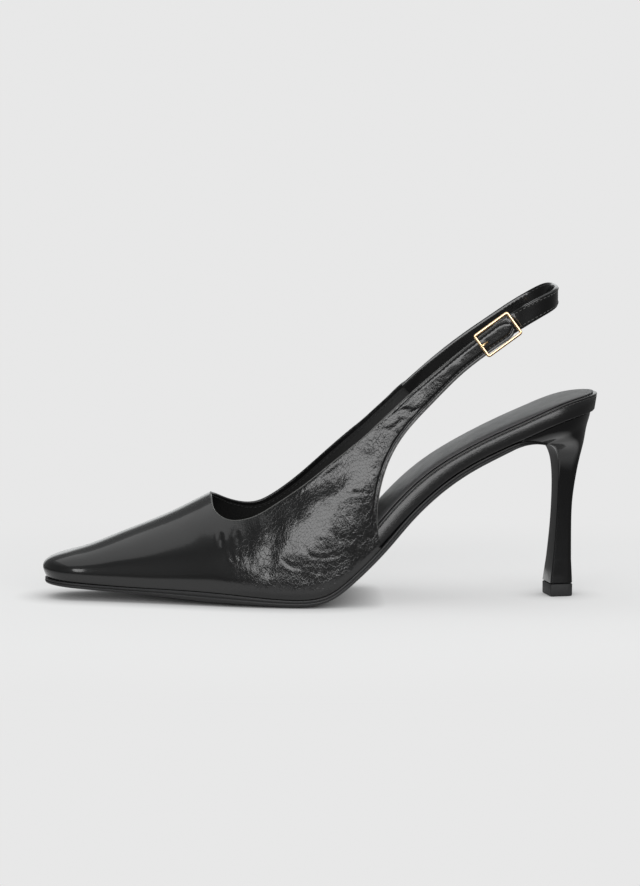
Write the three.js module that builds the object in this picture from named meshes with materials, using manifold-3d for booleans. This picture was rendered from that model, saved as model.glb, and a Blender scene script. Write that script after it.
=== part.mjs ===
// A left slingback pump with a soft square pointed toe and a slim flared heel, standing empty on its sole.
// Millimetres. The toe points to -X, the outer side of the foot is -Y and +Z is up.
// The finished shoe is centred on the origin over its floor plane.
import * as THREE from "three";
import { mergeVertices } from "three/addons/utils/BufferGeometryUtils.js";
import Module from "manifold-3d";

const wasm = await Module();
wasm.setup();

// Driving sizes. Lengths along the shoe are measured from the tip of the toe.
const LENGTH = 248;
const BALL_WIDTH = 76; // width of the last's bottom across the ball
const HEEL_HEIGHT = 83.5; // floor to the underside of the seat, at its back
const INSTEP = 46.8; // floor to the upper's ridge at the throat
const SLING_HEIGHT = 139; // floor to the top edge of the strap behind the heel
const GAP = 0.3; // clearance between pieces that touch

const UPPER_WALL = 1.5; // leather and lining together
const TOE_OVERHANG = 0.9; // the nose of the upper stands this far in front of the feather line
const SEAT_OVERHANG = 1.9; // the seat's top edge stands this far behind its bottom edge
const TOE_ROUND = 11; // length over which the outline closes at the toe
const SEAT_ROUND = 23; // length over which the outline closes at the heel
const TOE_SQUARENESS = 2.3; // 2 is an ellipse, more is squarer
const SEAT_SQUARENESS = 2.15;
const CAP_LENGTH = 16; // the toe cap's ridge starts this far behind the tip
const THROAT_AT = 0.2995; // share of the length

const SOLE_THICKNESS = 2.7;
const SOLE_MARGIN = 0.7; // how far the outsole stands past the upper
const SOLE_BEVEL = 1.1;
const SOLE_GROOVE = 0.45; // depth of the line along the sole's side
const SOLE_CAMBER = 1.4; // the bottom's middle hangs this far below its edges at the ball
const SOLE_DIP = 7.8; // the outsole's end hangs this far below the feather line, under the heel's lip
const SOLE_TAIL_AT = 0.835; // shares of the length between which it dips and narrows
const SOLE_END_AT = 0.905;
const SOLE_TAIL_NARROWING = 0.5;
const QUARTER_AT = 0.6; // share of the length at which the quarter's bottom back corner stands
const WAIST_THICKNESS = 7.6; // covered insole board at the waist
const SOCK_THICKNESS = 1.2;
const SOCK_SEAT_THICKNESS = 0.5; // under the heel of the foot
const SOCK_INSET = 1.6;
const SOCK_CROWN = 0.8;

const HEEL_TIP_LENGTH = 10.5;
const HEEL_TIP_WIDTH = 14;
const HEEL_TIP_HEIGHT = 5.6;
const HEEL_FOOT_AT = 0.9285; // the tip's middle: shares of the length and of the ball's width
const HEEL_FOOT_SIDE = -0.002;
const HEEL_TWIST = 11; // degrees that the heel's axis turns towards the outer toes, below its seat
const HEEL_INSET = 0.4; // the heel's top keeps this far inside the board's outline

const STRAP_WIDTH = 8.4;
const STRAP_THICKNESS = 1.7;
const STRAP_HOLE_PITCH = 6.9;
const TIP_ROUND = 4.5; // length over which a front strap's end narrows
const TIP_BLUNT = 1; // and how far short of its point it is cut off

const BUCKLE_LENGTH = 19;
const BUCKLE_WIDTH = 12.2;
const BUCKLE_BAR = 1.3;
const BUCKLE_DEPTH = 1.3;
const BUCKLE_CORNER = 0.9; // radius outside
const BUCKLE_BEVEL = 0.25;
const BUCKLE_AT = 0.81; // its middle on the outer wall: shares of the length and of the sling's height
const BUCKLE_HEIGHT = 0.861;
const BUCKLE_SLOPE = 36; // degrees
const PRONG_WIDTH = 1.2;
const PRONG_THICKNESS = 0.8;
const PRONG_REACH = 3.2; // from the front bar to the far side of the hole that it enters

// The last's bottom from toe to heel. "at" is a share of LENGTH, "outer" and "inner" of BALL_WIDTH, "edge" of
// HEEL_HEIGHT (the feather line, where upper and outsole meet), "sole" of SOLE_THICKNESS, "board" of
// WAIST_THICKNESS, and "lean" is how far the board's side moves back for each unit that it rises.
const LAST = [
  { at: 0.0, outer: -0.1096, inner: 0.1632, edge: 0.109, sole: 0.9, camber: 0, board: 0.34, lean: 0 },
  { at: 0.06, outer: -0.1486, inner: 0.207, edge: 0.0945, sole: 0.9, camber: 0.1, board: 0.36, lean: 0 },
  { at: 0.12, outer: -0.2021, inner: 0.2654, edge: 0.0855, sole: 0.95, camber: 0.3, board: 0.38, lean: 0 },
  { at: 0.2, outer: -0.2819, inner: 0.3433, edge: 0.0795, sole: 1.12, camber: 0.5, board: 0.38, lean: 0 },
  { at: 0.28, outer: -0.3647, inner: 0.4163, edge: 0.0735, sole: 1.5, camber: 0.7, board: 0.38, lean: 0 },
  { at: 0.36, outer: -0.4455, inner: 0.465, edge: 0.0587, sole: 1.3, camber: 0.95, board: 0.4, lean: 0 },
  { at: 0.43, outer: -0.4913, inner: 0.4708, edge: 0.0443, sole: 1.1, camber: 1, board: 0.44, lean: 0 },
  { at: 0.475, outer: -0.5039, inner: 0.4523, edge: 0.0467, sole: 1.06, camber: 1, board: 0.54, lean: -0.08 },
  { at: 0.51, outer: -0.4922, inner: 0.4182, edge: 0.0743, sole: 1, camber: 0.9, board: 0.68, lean: -0.32 },
  { at: 0.55, outer: -0.4746, inner: 0.3792, edge: 0.1629, sole: 1, camber: 0.6, board: 0.86, lean: -0.56 },
  { at: 0.6, outer: -0.4313, inner: 0.3233, edge: 0.303, sole: 1, camber: 0.25, board: 0.97, lean: -0.68 },
  { at: 0.65, outer: -0.3924, inner: 0.2843, edge: 0.4647, sole: 1, camber: 0.1, board: 1, lean: -0.69 },
  { at: 0.7, outer: -0.3603, inner: 0.2629, edge: 0.6024, sole: 1, camber: 0, board: 1, lean: -0.61 },
  { at: 0.76, outer: -0.3408, inner: 0.258, edge: 0.7265, sole: 1, camber: 0, board: 0.92, lean: -0.5 },
  { at: 0.82, outer: -0.3369, inner: 0.2726, edge: 0.8165, sole: 0.9, camber: 0, board: 0.93, lean: -0.42 },
  { at: 0.88, outer: -0.3369, inner: 0.295, edge: 0.8975, sole: 0.62, camber: 0, board: 0.93, lean: -0.33 },
  { at: 0.94, outer: -0.3291, inner: 0.3135, edge: 0.9689, sole: 0.3, camber: 0, board: 0.98, lean: -0.15 },
  { at: 1.0, outer: -0.3164, inner: 0.3213, edge: 1.003, sole: 0.3, camber: 0, board: 1.04, lean: 0.22 },
];

// The upper's half sections. "ridge" is a share of INSTEP (past the throat it carries on as the leg of the
// last, which only shapes the walls), "bulge" of BALL_WIDTH, "shoulder" of the section's height, "crown" of
// its width.
const SECTIONS = [
  { at: 0.0, ridge: 0.418, bulge: 0.066, shoulder: 0.63, crown: 0.84 },
  { at: 0.0645, ridge: 0.474, bulge: 0.05, shoulder: 0.6, crown: 0.72 },
  { at: 0.103, ridge: 0.543, bulge: 0.046, shoulder: 0.57, crown: 0.68 },
  { at: 0.139, ridge: 0.62, bulge: 0.044, shoulder: 0.55, crown: 0.65 },
  { at: 0.175, ridge: 0.695, bulge: 0.043, shoulder: 0.53, crown: 0.62 },
  { at: 0.211, ridge: 0.772, bulge: 0.044, shoulder: 0.52, crown: 0.6 },
  { at: 0.247, ridge: 0.858, bulge: 0.046, shoulder: 0.51, crown: 0.59 },
  { at: 0.275, ridge: 0.933, bulge: 0.048, shoulder: 0.5, crown: 0.58 },
  { at: 0.303, ridge: 1.006, bulge: 0.05, shoulder: 0.5, crown: 0.58 },
  { at: 0.33, ridge: 1.066, bulge: 0.052, shoulder: 0.48, crown: 0.58 },
  { at: 0.37, ridge: 1.196, bulge: 0.054, shoulder: 0.46, crown: 0.58 },
  { at: 0.42, ridge: 1.456, bulge: 0.055, shoulder: 0.44, crown: 0.58 },
  { at: 0.48, ridge: 1.886, bulge: 0.054, shoulder: 0.42, crown: 0.57 },
  { at: 0.55, ridge: 2.506, bulge: 0.05, shoulder: 0.4, crown: 0.56 },
  { at: 0.63, ridge: 3.306, bulge: 0.04, shoulder: 0.4, crown: 0.56 },
  { at: 0.72, ridge: 4.156, bulge: 0.03, shoulder: 0.4, crown: 0.56 },
  { at: 0.86, ridge: 5.206, bulge: 0.02, shoulder: 0.4, crown: 0.56 },
];

// The topline, from the throat to the end of the front strap: shares of LENGTH and SLING_HEIGHT.
const TOPLINE = [
  { at: THROAT_AT, outer: 0.3355, inner: 0.3355 },
  { at: 0.3025, outer: 0.3066, inner: 0.3285 },
  { at: 0.3125, outer: 0.2842, inner: 0.317 },
  { at: 0.337, outer: 0.2691, inner: 0.2935 },
  { at: 0.375, outer: 0.2835, inner: 0.2795 },
  { at: 0.4133, outer: 0.3237, inner: 0.3045 },
  { at: 0.4609, outer: 0.3827, inner: 0.367 },
  { at: 0.5081, outer: 0.4496, inner: 0.4435 },
  { at: 0.5524, outer: 0.5122, inner: 0.5135 },
  { at: 0.5786, outer: 0.5511, inner: 0.5525 },
  { at: 0.6028, outer: 0.5914, inner: 0.593 },
  { at: 0.627, outer: 0.6309, inner: 0.634 },
  { at: 0.6532, outer: 0.6734, inner: 0.677 },
  { at: 0.6835, outer: 0.7194, inner: 0.708 },
  { at: 0.7177, outer: 0.7698, inner: 0.76 },
  { at: 0.752, outer: 0.8187, inner: 0.81 },
  { at: 0.7903, outer: 0.8705, inner: 0.86 },
  { at: 0.8225, outer: 0.9137, inner: 0.9 },
];
const CORNER_ROW = 8; // the topline's row that stands over the quarter's bottom back corner

// The quarter's back edge and the strap's lower edge, a row for each row of TOPLINE from the corner on.
const BACK_EDGE = [
  { at: QUARTER_AT, height: 0.175 },
  { at: 0.594, height: 0.269 },
  { at: 0.599, height: 0.3705 },
  { at: 0.6166, height: 0.4698 },
  { at: 0.6482, height: 0.5603 },
  { at: 0.6948, height: 0.6483 },
  { at: 0.7379, height: 0.7241 },
  { at: 0.775, height: 0.7785 },
  { at: 0.8125, height: 0.826 },
  { at: 0.8448, height: 0.8635 },
];

// The rows of BACK_EDGE, and as many of TOPLINE past its corner row, at which the two straps end.
const OUTER_STRAP_END = { back: 9, top: 9 };
const INNER_STRAP_END = { back: 5.3, top: 4.8 };

// The heel from its seat down to its tip. "front" and "back" are shares of LENGTH, "frontHeight" and
// "backHeight" of HEEL_HEIGHT, "width" of BALL_WIDTH, "round" is the share of the depth that its back rounds
// off, and "turn" the share of HEEL_TWIST.
const HEEL = [
  { front: 0.845, frontHeight: 0.93, back: 0.99, backHeight: 1.08, width: 0.643, round: 0.62, turn: 0 },
  { front: 0.852, frontHeight: 0.84, back: 0.985, backHeight: 0.985, width: 0.628, round: 0.62, turn: 0 },
  { front: 0.885, frontHeight: 0.832, back: 0.979, backHeight: 0.925, width: 0.51, round: 0.55, turn: 0 },
  { front: 0.903, frontHeight: 0.828, back: 0.9735, backHeight: 0.868, width: 0.419, round: 0.48, turn: 0.25 },
  { front: 0.9125, frontHeight: 0.8, back: 0.967, backHeight: 0.8, width: 0.292, round: 0.42, turn: 0.7 },
  { front: 0.9195, frontHeight: 0.745, back: 0.9603, backHeight: 0.72, width: 0.206, round: 0.36, turn: 0.95 },
  { front: 0.922, frontHeight: 0.645, back: 0.9547, backHeight: 0.62, width: 0.158, round: 0.32, turn: 1 },
  { front: 0.921, frontHeight: 0.51, back: 0.95, backHeight: 0.5, width: 0.142, round: 0.3, turn: 1 },
  { front: 0.918, frontHeight: 0.36, back: 0.9485, backHeight: 0.36, width: 0.146, round: 0.28, turn: 1 },
  { front: 0.913, frontHeight: 0.2, back: 0.948, backHeight: 0.2, width: 0.164, round: 0.26, turn: 1 },
];

// The sling strap's middle line, from the tip in the buckle round the heel to its end inside the inner
// quarter. "at" is a share of LENGTH, "height" of SLING_HEIGHT. "side" is a share of BALL_WIDTH where the
// strap stands free; where it lies on the upper the row has "layer" instead, the layers of material between
// it and the last.
const SLING = [
  { at: 0.802, height: 0.8525, layer: -1, of: -1 },
  { at: 0.821, height: 0.877, layer: -1, of: -1 },
  { at: 0.842, height: 0.901, layer: -0.95, of: -1 },
  { at: 0.866, height: 0.9265, side: -0.325 },
  { at: 0.8945, height: 0.9535, side: -0.301 },
  { at: 0.9125, height: 0.9675, side: -0.232 },
  { at: 0.9195, height: 0.9735, side: -0.12 },
  { at: 0.9215, height: 0.9755, side: -0.01 },
  { at: 0.9195, height: 0.975, side: 0.1 },
  { at: 0.91, height: 0.971, side: 0.2 },
  { at: 0.8885, height: 0.949, side: 0.257 },
  { at: 0.856, height: 0.9145, side: 0.272 },
  { at: 0.816, height: 0.8675, side: 0.266 },
  { at: 0.76, height: 0.7995, side: 0.248 },
  { at: 0.705, height: 0.725, layer: -1.03, of: 1 },
  { at: 0.66, height: 0.652, layer: -1.1, of: 1 },
];

const BLACK_LEATHER = { color: 0x0b0b0c, roughness: 0.2, metalness: 0 };
const LINING = { color: 0x1a1a1a, roughness: 0.55, metalness: 0 };
const BLACK_RUBBER = { color: 0x101010, roughness: 0.6, metalness: 0 };
const LACQUER = { color: 0x080808, roughness: 0.12, metalness: 0 };
const GOLD = { color: 0xd9b98a, roughness: 0.22, metalness: 1 };

// Curves through tables

// Second derivatives of the natural cubic spline through (xs, ys).
function bends(xs, ys) {
  const n = xs.length;
  const c = new Array(n).fill(0);
  const d = new Array(n).fill(0);
  for (let i = 1; i < n - 1; i++) {
    const before = xs[i] - xs[i - 1];
    const after = xs[i + 1] - xs[i];
    const pull = 6 * ((ys[i + 1] - ys[i]) / after - (ys[i] - ys[i - 1]) / before);
    const pivot = 2 * (before + after) - before * c[i - 1];
    c[i] = after / pivot;
    d[i] = (pull - before * d[i - 1]) / pivot;
  }
  for (let i = n - 2; i > 0; i--) d[i] -= c[i] * d[i + 1];
  return d;
}

// A smooth curve through (xs, ys), held at its end values outside them.
function smooth(xs, ys) {
  const second = bends(xs, ys);
  return (x) => {
    const p = Math.min(Math.max(x, xs[0]), xs.at(-1));
    let i = 0;
    while (i < xs.length - 2 && p > xs[i + 1]) i++;
    const h = xs[i + 1] - xs[i];
    const a = (xs[i + 1] - p) / h;
    const b = 1 - a;
    const curl = ((a * a * a - a) * second[i] + (b * b * b - b) * second[i + 1]) * ((h * h) / 6);
    return a * ys[i] + b * ys[i + 1] + curl;
  };
}

// A table's column against its "at", or against the number of the row, in real lengths.
const column = (rows, key, unit) => smooth(rows.map((r) => r.at * LENGTH), rows.map((r) => r[key] * unit));
const byRow = (rows, key, unit) => smooth(rows.map((_, i) => i), rows.map((r) => r[key] * unit));

const { clamp, smoothstep } = THREE.MathUtils;
const mix = (a, b, share) => a + (b - a) * share;
const steps = (n) => Array.from({ length: n + 1 }, (_, i) => i / n);

// The last: its outline, its feather line and its walls

const outerLine = column(LAST, "outer", BALL_WIDTH);
const innerLine = column(LAST, "inner", BALL_WIDTH);
const edgeHeight = column(LAST, "edge", HEEL_HEIGHT);
const soleThickness = column(LAST, "sole", SOLE_THICKNESS);
const soleCamber = column(LAST, "camber", 1);
const boardThickness = column(LAST, "board", WAIST_THICKNESS);
const boardLean = column(LAST, "lean", 1);
const ridgeHeight = column(SECTIONS, "ridge", INSTEP);
const bulgeAt = column(SECTIONS, "bulge", BALL_WIDTH);
const shoulderAt = column(SECTIONS, "shoulder", 1);
const crownAt = column(SECTIONS, "crown", 1);

// How much of its width an outline has at a distance from its round end.
function closing(distance, length, squareness) {
  const share = Math.min(Math.max(distance / length, 0), 1);
  return (1 - (1 - share) ** squareness) ** (1 / squareness);
}

// The upper's outside stands this far past the last's bottom, whose own ends are at LAST_TOE and LAST_SEAT.
const UPPER_STAND = UPPER_WALL + GAP;
const LAST_TOE = TOE_OVERHANG + UPPER_STAND;
const LAST_SEAT = LENGTH - SEAT_OVERHANG;

// The outline's y at x on one side (-1 outer, 1 inner), grown by "by" all round.
function outline(x, side, by) {
  const middle = (outerLine(x) + innerLine(x)) / 2;
  const half = (innerLine(x) - outerLine(x)) / 2 + by;
  const toe = closing(x - LAST_TOE + by, TOE_ROUND + by, TOE_SQUARENESS);
  const seat = closing(LAST_SEAT - x + by, SEAT_ROUND + by, SEAT_SQUARENESS);
  return middle + side * half * toe * seat;
}

// A half section from the feather point F to the ridge point R, as a cubic curve: t is 0 at F and 1 at R.
function sectionCurve(F, R, bulge, shoulder, crown, ridgeSlope) {
  const reach = Math.hypot(F.x - R.x, F.y - R.y);
  const toward = { x: (F.x - R.x) / reach, y: (F.y - R.y) / reach };
  const rise = R.z - F.z;
  const out = [reach, reach + bulge, crown * reach, 0];
  const up = [F.z, F.z + shoulder * rise, R.z + ridgeSlope * toward.x * crown * reach, R.z];
  return (t) => {
    const s = 1 - t;
    const w = [s * s * s, 3 * s * s * t, 3 * s * t * t, t * t * t];
    const r = w.reduce((sum, share, i) => sum + share * out[i], 0);
    const z = w.reduce((sum, share, i) => sum + share * up[i], 0);
    return new THREE.Vector3(R.x + toward.x * r, R.y + toward.y * r, z);
  };
}

const ridgeMiddle = (x) => (outerLine(x) + innerLine(x)) / 2;
const feather = (x, side) =>
  new THREE.Vector3(x, outline(x, side, UPPER_STAND), edgeHeight(x) + GAP);

function sideSection(x, side) {
  const R = new THREE.Vector3(x, ridgeMiddle(x), ridgeHeight(x));
  return sectionCurve(feather(x, side), R, bulgeAt(x), shoulderAt(x), crownAt(x), 0);
}

// The share t at which a side's section reaches a height.
function shareAtHeight(x, height, side) {
  const section = sideSection(x, side);
  let low = 0;
  let high = 1;
  for (let i = 0; i < 40; i++) {
    const middle = (low + high) / 2;
    if (section(middle).z < height) low = middle;
    else high = middle;
  }
  return (low + high) / 2;
}

// The toe cap's half sections fan out from the front end of the ridge.
function capSection(angle) {
  const pole = new THREE.Vector3(CAP_LENGTH, ridgeMiddle(CAP_LENGTH), ridgeHeight(CAP_LENGTH));
  const side = angle < 0 ? -1 : 1;
  const turn = Math.abs(angle);
  let near = TOE_OVERHANG;
  let far = CAP_LENGTH;
  for (let i = 0; i < 40; i++) {
    const x = (near + far) / 2;
    const across = Math.abs(feather(x, side).y - pole.y);
    if (Math.atan2(across, pole.x - x) < turn) near = x;
    else far = x;
  }
  const F = turn === 0 ? feather(near, side) : feather((near + far) / 2, side);
  if (turn === 0) F.y = pole.y;
  const aside = Math.sin(turn) ** 2;
  const slope = (ridgeHeight(CAP_LENGTH + 2) - ridgeHeight(CAP_LENGTH - 2)) / 4;
  const [bulge, shoulder, crown] = [bulgeAt, shoulderAt, crownAt].map((curve) =>
    mix(curve(0), curve(CAP_LENGTH), aside));
  return sectionCurve(F, pole, bulge, shoulder, crown, slope);
}

// Meshes

function geometryOf(points, triangles) {
  const geometry = new THREE.BufferGeometry();
  const flat = points.flatMap((p) => [p.x, p.y, p.z]);
  geometry.setAttribute("position", new THREE.Float32BufferAttribute(flat, 3));
  geometry.setIndex(triangles.flat());
  return geometry;
}

// Points on shared places become one, so that the surface is joined.
class Surface {
  points = [];
  triangles = [];
  seen = new Map();

  index(p) {
    const key = [p.x, p.y, p.z].map((v) => Math.round(v * 1e4)).join();
    if (!this.seen.has(key)) {
      this.seen.set(key, this.points.length);
      this.points.push(p);
    }
    return this.seen.get(key);
  }

  triangle(a, b, c) {
    if (a !== b && b !== c && c !== a) this.triangles.push([a, b, c]);
  }

  // A fan over a ring of points, unless the ring's two sides lie on each other.
  lid(ring, flip) {
    const row = ring.map((p) => this.index(p));
    if (new Set(row).size <= row.length / 2 + 1) return;
    const middle = new THREE.Vector3();
    for (const p of ring) middle.addScaledVector(p, 1 / ring.length);
    const centre = this.index(middle);
    for (let i = 0; i < row.length; i++) {
      const next = row[(i + 1) % row.length];
      if (flip) this.triangle(centre, next, row[i]);
      else this.triangle(centre, row[i], next);
    }
  }

  // Lines of points, side by side. "flip" turns the faces round.
  strip(lines, flip) {
    const rows = lines.map((line) => line.map((p) => this.index(p)));
    for (let i = 0; i + 1 < rows.length; i++) {
      for (let j = 0; j + 1 < rows[i].length; j++) {
        const [a, b, c, d] = [rows[i][j], rows[i][j + 1], rows[i + 1][j + 1], rows[i + 1][j]];
        if (flip) {
          this.triangle(a, c, b);
          this.triangle(a, d, c);
        } else {
          this.triangle(a, b, c);
          this.triangle(a, c, d);
        }
      }
    }
  }
}

// A surface given a wall on its inside, closed along all its open edges.
function thicken(surface, wall) {
  const outside = geometryOf(surface.points, surface.triangles);
  outside.computeVertexNormals();
  const normal = outside.getAttribute("normal");
  const inside = surface.points.map((p, i) =>
    p.clone().addScaledVector(new THREE.Vector3().fromBufferAttribute(normal, i), -wall));
  const count = surface.points.length;
  const turned = surface.triangles.map(([a, b, c]) => [a + count, c + count, b + count]);
  const triangles = [...surface.triangles, ...turned];
  const edgesOf = ([a, b, c]) => [`${a},${b}`, `${b},${c}`, `${c},${a}`];
  const halfEdges = new Set(surface.triangles.flatMap(edgesOf));
  for (const edge of halfEdges) {
    const [a, b] = edge.split(",").map(Number);
    if (halfEdges.has(`${b},${a}`)) continue;
    triangles.push([b, a, a + count], [b, a + count, b + count]);
  }
  return geometryOf([...surface.points, ...inside], triangles);
}

// A solid through closed rings of points. An end ring that is squeezed flat is closed as it is, and a lid
// closes any other.
function loft(rings) {
  const surface = new Surface();
  surface.strip(rings.map((ring) => [...ring, ring[0]]), false);
  surface.lid(rings[0], true);
  surface.lid(rings.at(-1), false);
  return geometryOf(surface.points, facingOut(surface.points, surface.triangles));
}

// The triangles of a closed surface, turned round if they face inwards.
function facingOut(points, triangles) {
  const volume = triangles.reduce((sum, [a, b, c]) => {
    const square = new THREE.Vector3().crossVectors(points[b], points[c]);
    return sum + points[a].dot(square) / 6;
  }, 0);
  return volume < 0 ? triangles.map(([a, b, c]) => [a, c, b]) : triangles;
}

function solidOf(geometry) {
  const bare = new THREE.BufferGeometry();
  bare.setAttribute("position", geometry.getAttribute("position"));
  if (geometry.index) bare.setIndex(geometry.index);
  const merged = mergeVertices(bare, 1e-4);
  const mesh = new wasm.Mesh({
    numProp: 3,
    vertProperties: merged.attributes.position.array,
    triVerts: new Uint32Array(merged.index.array),
  });
  return new wasm.Manifold(mesh);
}

function geometryFrom(solid) {
  const mesh = solid.getMesh();
  const geometry = new THREE.BufferGeometry();
  geometry.setAttribute("position", new THREE.BufferAttribute(mesh.vertProperties, 3));
  geometry.setIndex(new THREE.BufferAttribute(mesh.triVerts, 1));
  return geometry;
}

const shoe = new THREE.Group();

function add(group, name, geometry, material) {
  const mesh = new THREE.Mesh(geometry, new THREE.MeshStandardMaterial(material));
  mesh.name = name;
  group.add(mesh);
}

// Upper

const WALL_ROWS = 9; // faces from the feather line up to the topline
const CAP_FAN = 6; // faces round each half of the toe cap
const VAMP_STEPS = 13;
const QUARTER_STEPS = 20;
const STRAP_STEPS = 15;

const toplineAt = byRow(TOPLINE, "at", LENGTH);
const outerTopline = byRow(TOPLINE, "outer", SLING_HEIGHT);
const innerTopline = byRow(TOPLINE, "inner", SLING_HEIGHT);
const backAt = byRow(BACK_EDGE, "at", LENGTH);
const backHeight = byRow(BACK_EDGE, "height", SLING_HEIGHT);

// A line of points on a side's wall between two places, each given by x and the share t of its section.
function wallLine(side, low, high) {
  return steps(WALL_ROWS).map((v) => {
    const x = mix(low.x, high.x, v);
    return sideSection(x, side)(mix(low.t, high.t, v));
  });
}

function toplinePlace(row, side) {
  const x = toplineAt(row);
  const height = side < 0 ? outerTopline(row) : innerTopline(row);
  return { x, t: row === 0 ? 1 : shareAtHeight(x, height, side) };
}

function backPlace(row, side) {
  const x = backAt(row);
  return { x, t: row === 0 ? 0 : shareAtHeight(x, backHeight(row), side) };
}

// One side of the upper, as lines from the toe cap's side back to the end of its strap.
function sideLines(side) {
  const throat = THROAT_AT * LENGTH;
  const corner = backAt(0);
  const end = side < 0 ? OUTER_STRAP_END : INNER_STRAP_END;
  const vamp = steps(VAMP_STEPS).map((s) => {
    const x = mix(CAP_LENGTH, throat, s);
    return wallLine(side, { x, t: 0 }, { x, t: 1 });
  });
  const quarter = steps(QUARTER_STEPS).slice(1).map((s) => {
    const row = CORNER_ROW * s ** 1.4;
    const top = toplinePlace(row, side);
    const x = mix(top.x, mix(throat, corner, s ** 1.2), s ** 0.5);
    return wallLine(side, { x: s === 1 ? corner : x, t: 0 }, top);
  });
  const strap = steps(STRAP_STEPS).slice(1).map((s) => {
    const share = 1 - (1 - s) ** 1.5;
    const low = backPlace(share * end.back, side);
    const high = toplinePlace(CORNER_ROW + share * end.top, side);
    const left = backAt(end.back) - low.x;
    const full = closing(left + TIP_BLUNT, TIP_ROUND + TIP_BLUNT, 2);
    const middle = { x: mix(low.x, high.x, 0.5), t: mix(low.t, high.t, 0.5) };
    const toward = (place) => ({ x: mix(middle.x, place.x, full), t: mix(middle.t, place.t, full) });
    return wallLine(side, toward(low), toward(high));
  });
  return [...vamp, ...quarter, ...strap];
}

function capLines(side) {
  return steps(CAP_FAN).map((s) => {
    const section = capSection((side * s * Math.PI) / 2 || 0);
    return steps(WALL_ROWS).map(section);
  });
}

function upperGeometry() {
  const surface = new Surface();
  for (const side of [-1, 1]) {
    const lines = [...capLines(side).slice(0, -1), ...sideLines(side)];
    surface.strip(lines, side < 0);
  }
  return thicken(surface, UPPER_WALL);
}

// Outsole

const SOLE_STEPS = 54;
const SOLE_CENTRE = 0.55; // share of the half width over which the bottom is flat across

// Stations crowd towards both ends of a stretch, where outlines turn fast.
const crowded = (s) => (1 - Math.cos(Math.PI * s)) / 2;

// The outsole's top follows the feather line, then dips under the heel's lip towards the breast.
const tailShare = (x) => Math.max(0, (x / LENGTH - SOLE_TAIL_AT) / (SOLE_END_AT - SOLE_TAIL_AT));
const soleTop = (x) => edgeHeight(x) - SOLE_DIP * tailShare(x) ** 2;

// The direction square to the shoe's bottom at x.
function bottomNormal(x) {
  const angle = Math.atan((soleTop(x + 1) - soleTop(x - 1)) / 2);
  return new THREE.Vector3(-Math.sin(angle), 0, Math.cos(angle));
}

// How far the outsole's side stands past the last's bottom at x: a margin round the upper, flush under the
// board.
function soleStand(x) {
  const covered = UPPER_STAND + SOLE_MARGIN * (1 - smoothstep(x, 0.5 * LENGTH, 0.6 * LENGTH));
  return mix(covered, 0, smoothstep(x, (QUARTER_AT + 0.004) * LENGTH, (QUARTER_AT + 0.06) * LENGTH));
}

// A point of the outsole at a share u of its length and a share of its half width, moved in by "inset" all
// round and so far below its top.
function solePoint(u, share, inset, below) {
  const side = Math.sign(share);
  const x = mix(LAST_TOE - UPPER_STAND - SOLE_MARGIN + inset, SOLE_END_AT * LENGTH, u);
  const narrow = 1 - SOLE_TAIL_NARROWING * tailShare(x) ** 2;
  const middle = ridgeMiddle(x);
  const y = middle + (outline(x, side, soleStand(x) - inset) - middle) * Math.abs(share) * narrow;
  const p = new THREE.Vector3(x, y, soleTop(x)).addScaledVector(bottomNormal(x), -below);
  p.z = Math.max(p.z, 0);
  return p;
}

function outsoleRing(u) {
  const x = u * SOLE_END_AT * LENGTH;
  const thickness = soleThickness(x);
  const belly = thickness + SOLE_CAMBER * soleCamber(x);
  const side = [
    [0.1, 0],
    [0, 0.34],
    [SOLE_GROOVE, 0.42],
    [0, 0.5],
    [0, 0.6],
    [0.3 * SOLE_BEVEL, 0.82],
    [SOLE_BEVEL, 1],
  ];
  const outer = side.map(([inset, depth]) => solePoint(u, -1, inset, thickness * depth));
  const inner = side.map(([inset, depth]) => solePoint(u, 1, inset, thickness * depth));
  const under = [-SOLE_CENTRE, SOLE_CENTRE].map((share) => solePoint(u, share, SOLE_BEVEL, belly));
  return [...outer, ...under, ...inner.reverse()];
}

const outsoleGeometry = () => loft(steps(SOLE_STEPS).map((s) => outsoleRing(mix(s, crowded(s), 0.85))));

// Covered insole board

const BOARD_STEPS = 54;

// A point over the feather line at x: so far past the last, and so high above along the leaning side.
function overEdge(x, side, out, above) {
  const lean = boardLean(x);
  const p = new THREE.Vector3(x, outline(x, side, out), edgeHeight(x));
  return p.add(new THREE.Vector3(lean, 0, Math.sqrt(1 - lean * lean)).multiplyScalar(above));
}

function boardRing(u) {
  const at = mix(LAST_TOE, LAST_SEAT, u);
  const low = 1.3 * GAP;
  const top = low + boardThickness(at);
  const profile = [
    [0.5, low],
    [0, low + 0.5],
    [0, top - 0.7],
    [0.3, top - 0.2],
    [0.9, top],
  ];
  const sideOf = (side) => profile.map(([inset, above]) =>
    overEdge(mix(LAST_TOE + inset, LAST_SEAT - inset, u), side, -inset, above));
  return [...sideOf(-1), ...sideOf(1).reverse()];
}

const boardGeometry = () => loft(steps(BOARD_STEPS).map((s) => boardRing(mix(s, crowded(s), 0.9))));

// Sock: the padded sheet that the foot stands on

const SOCK_STEPS = 44;
const SOCK_START_AT = 0.09;

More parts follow.
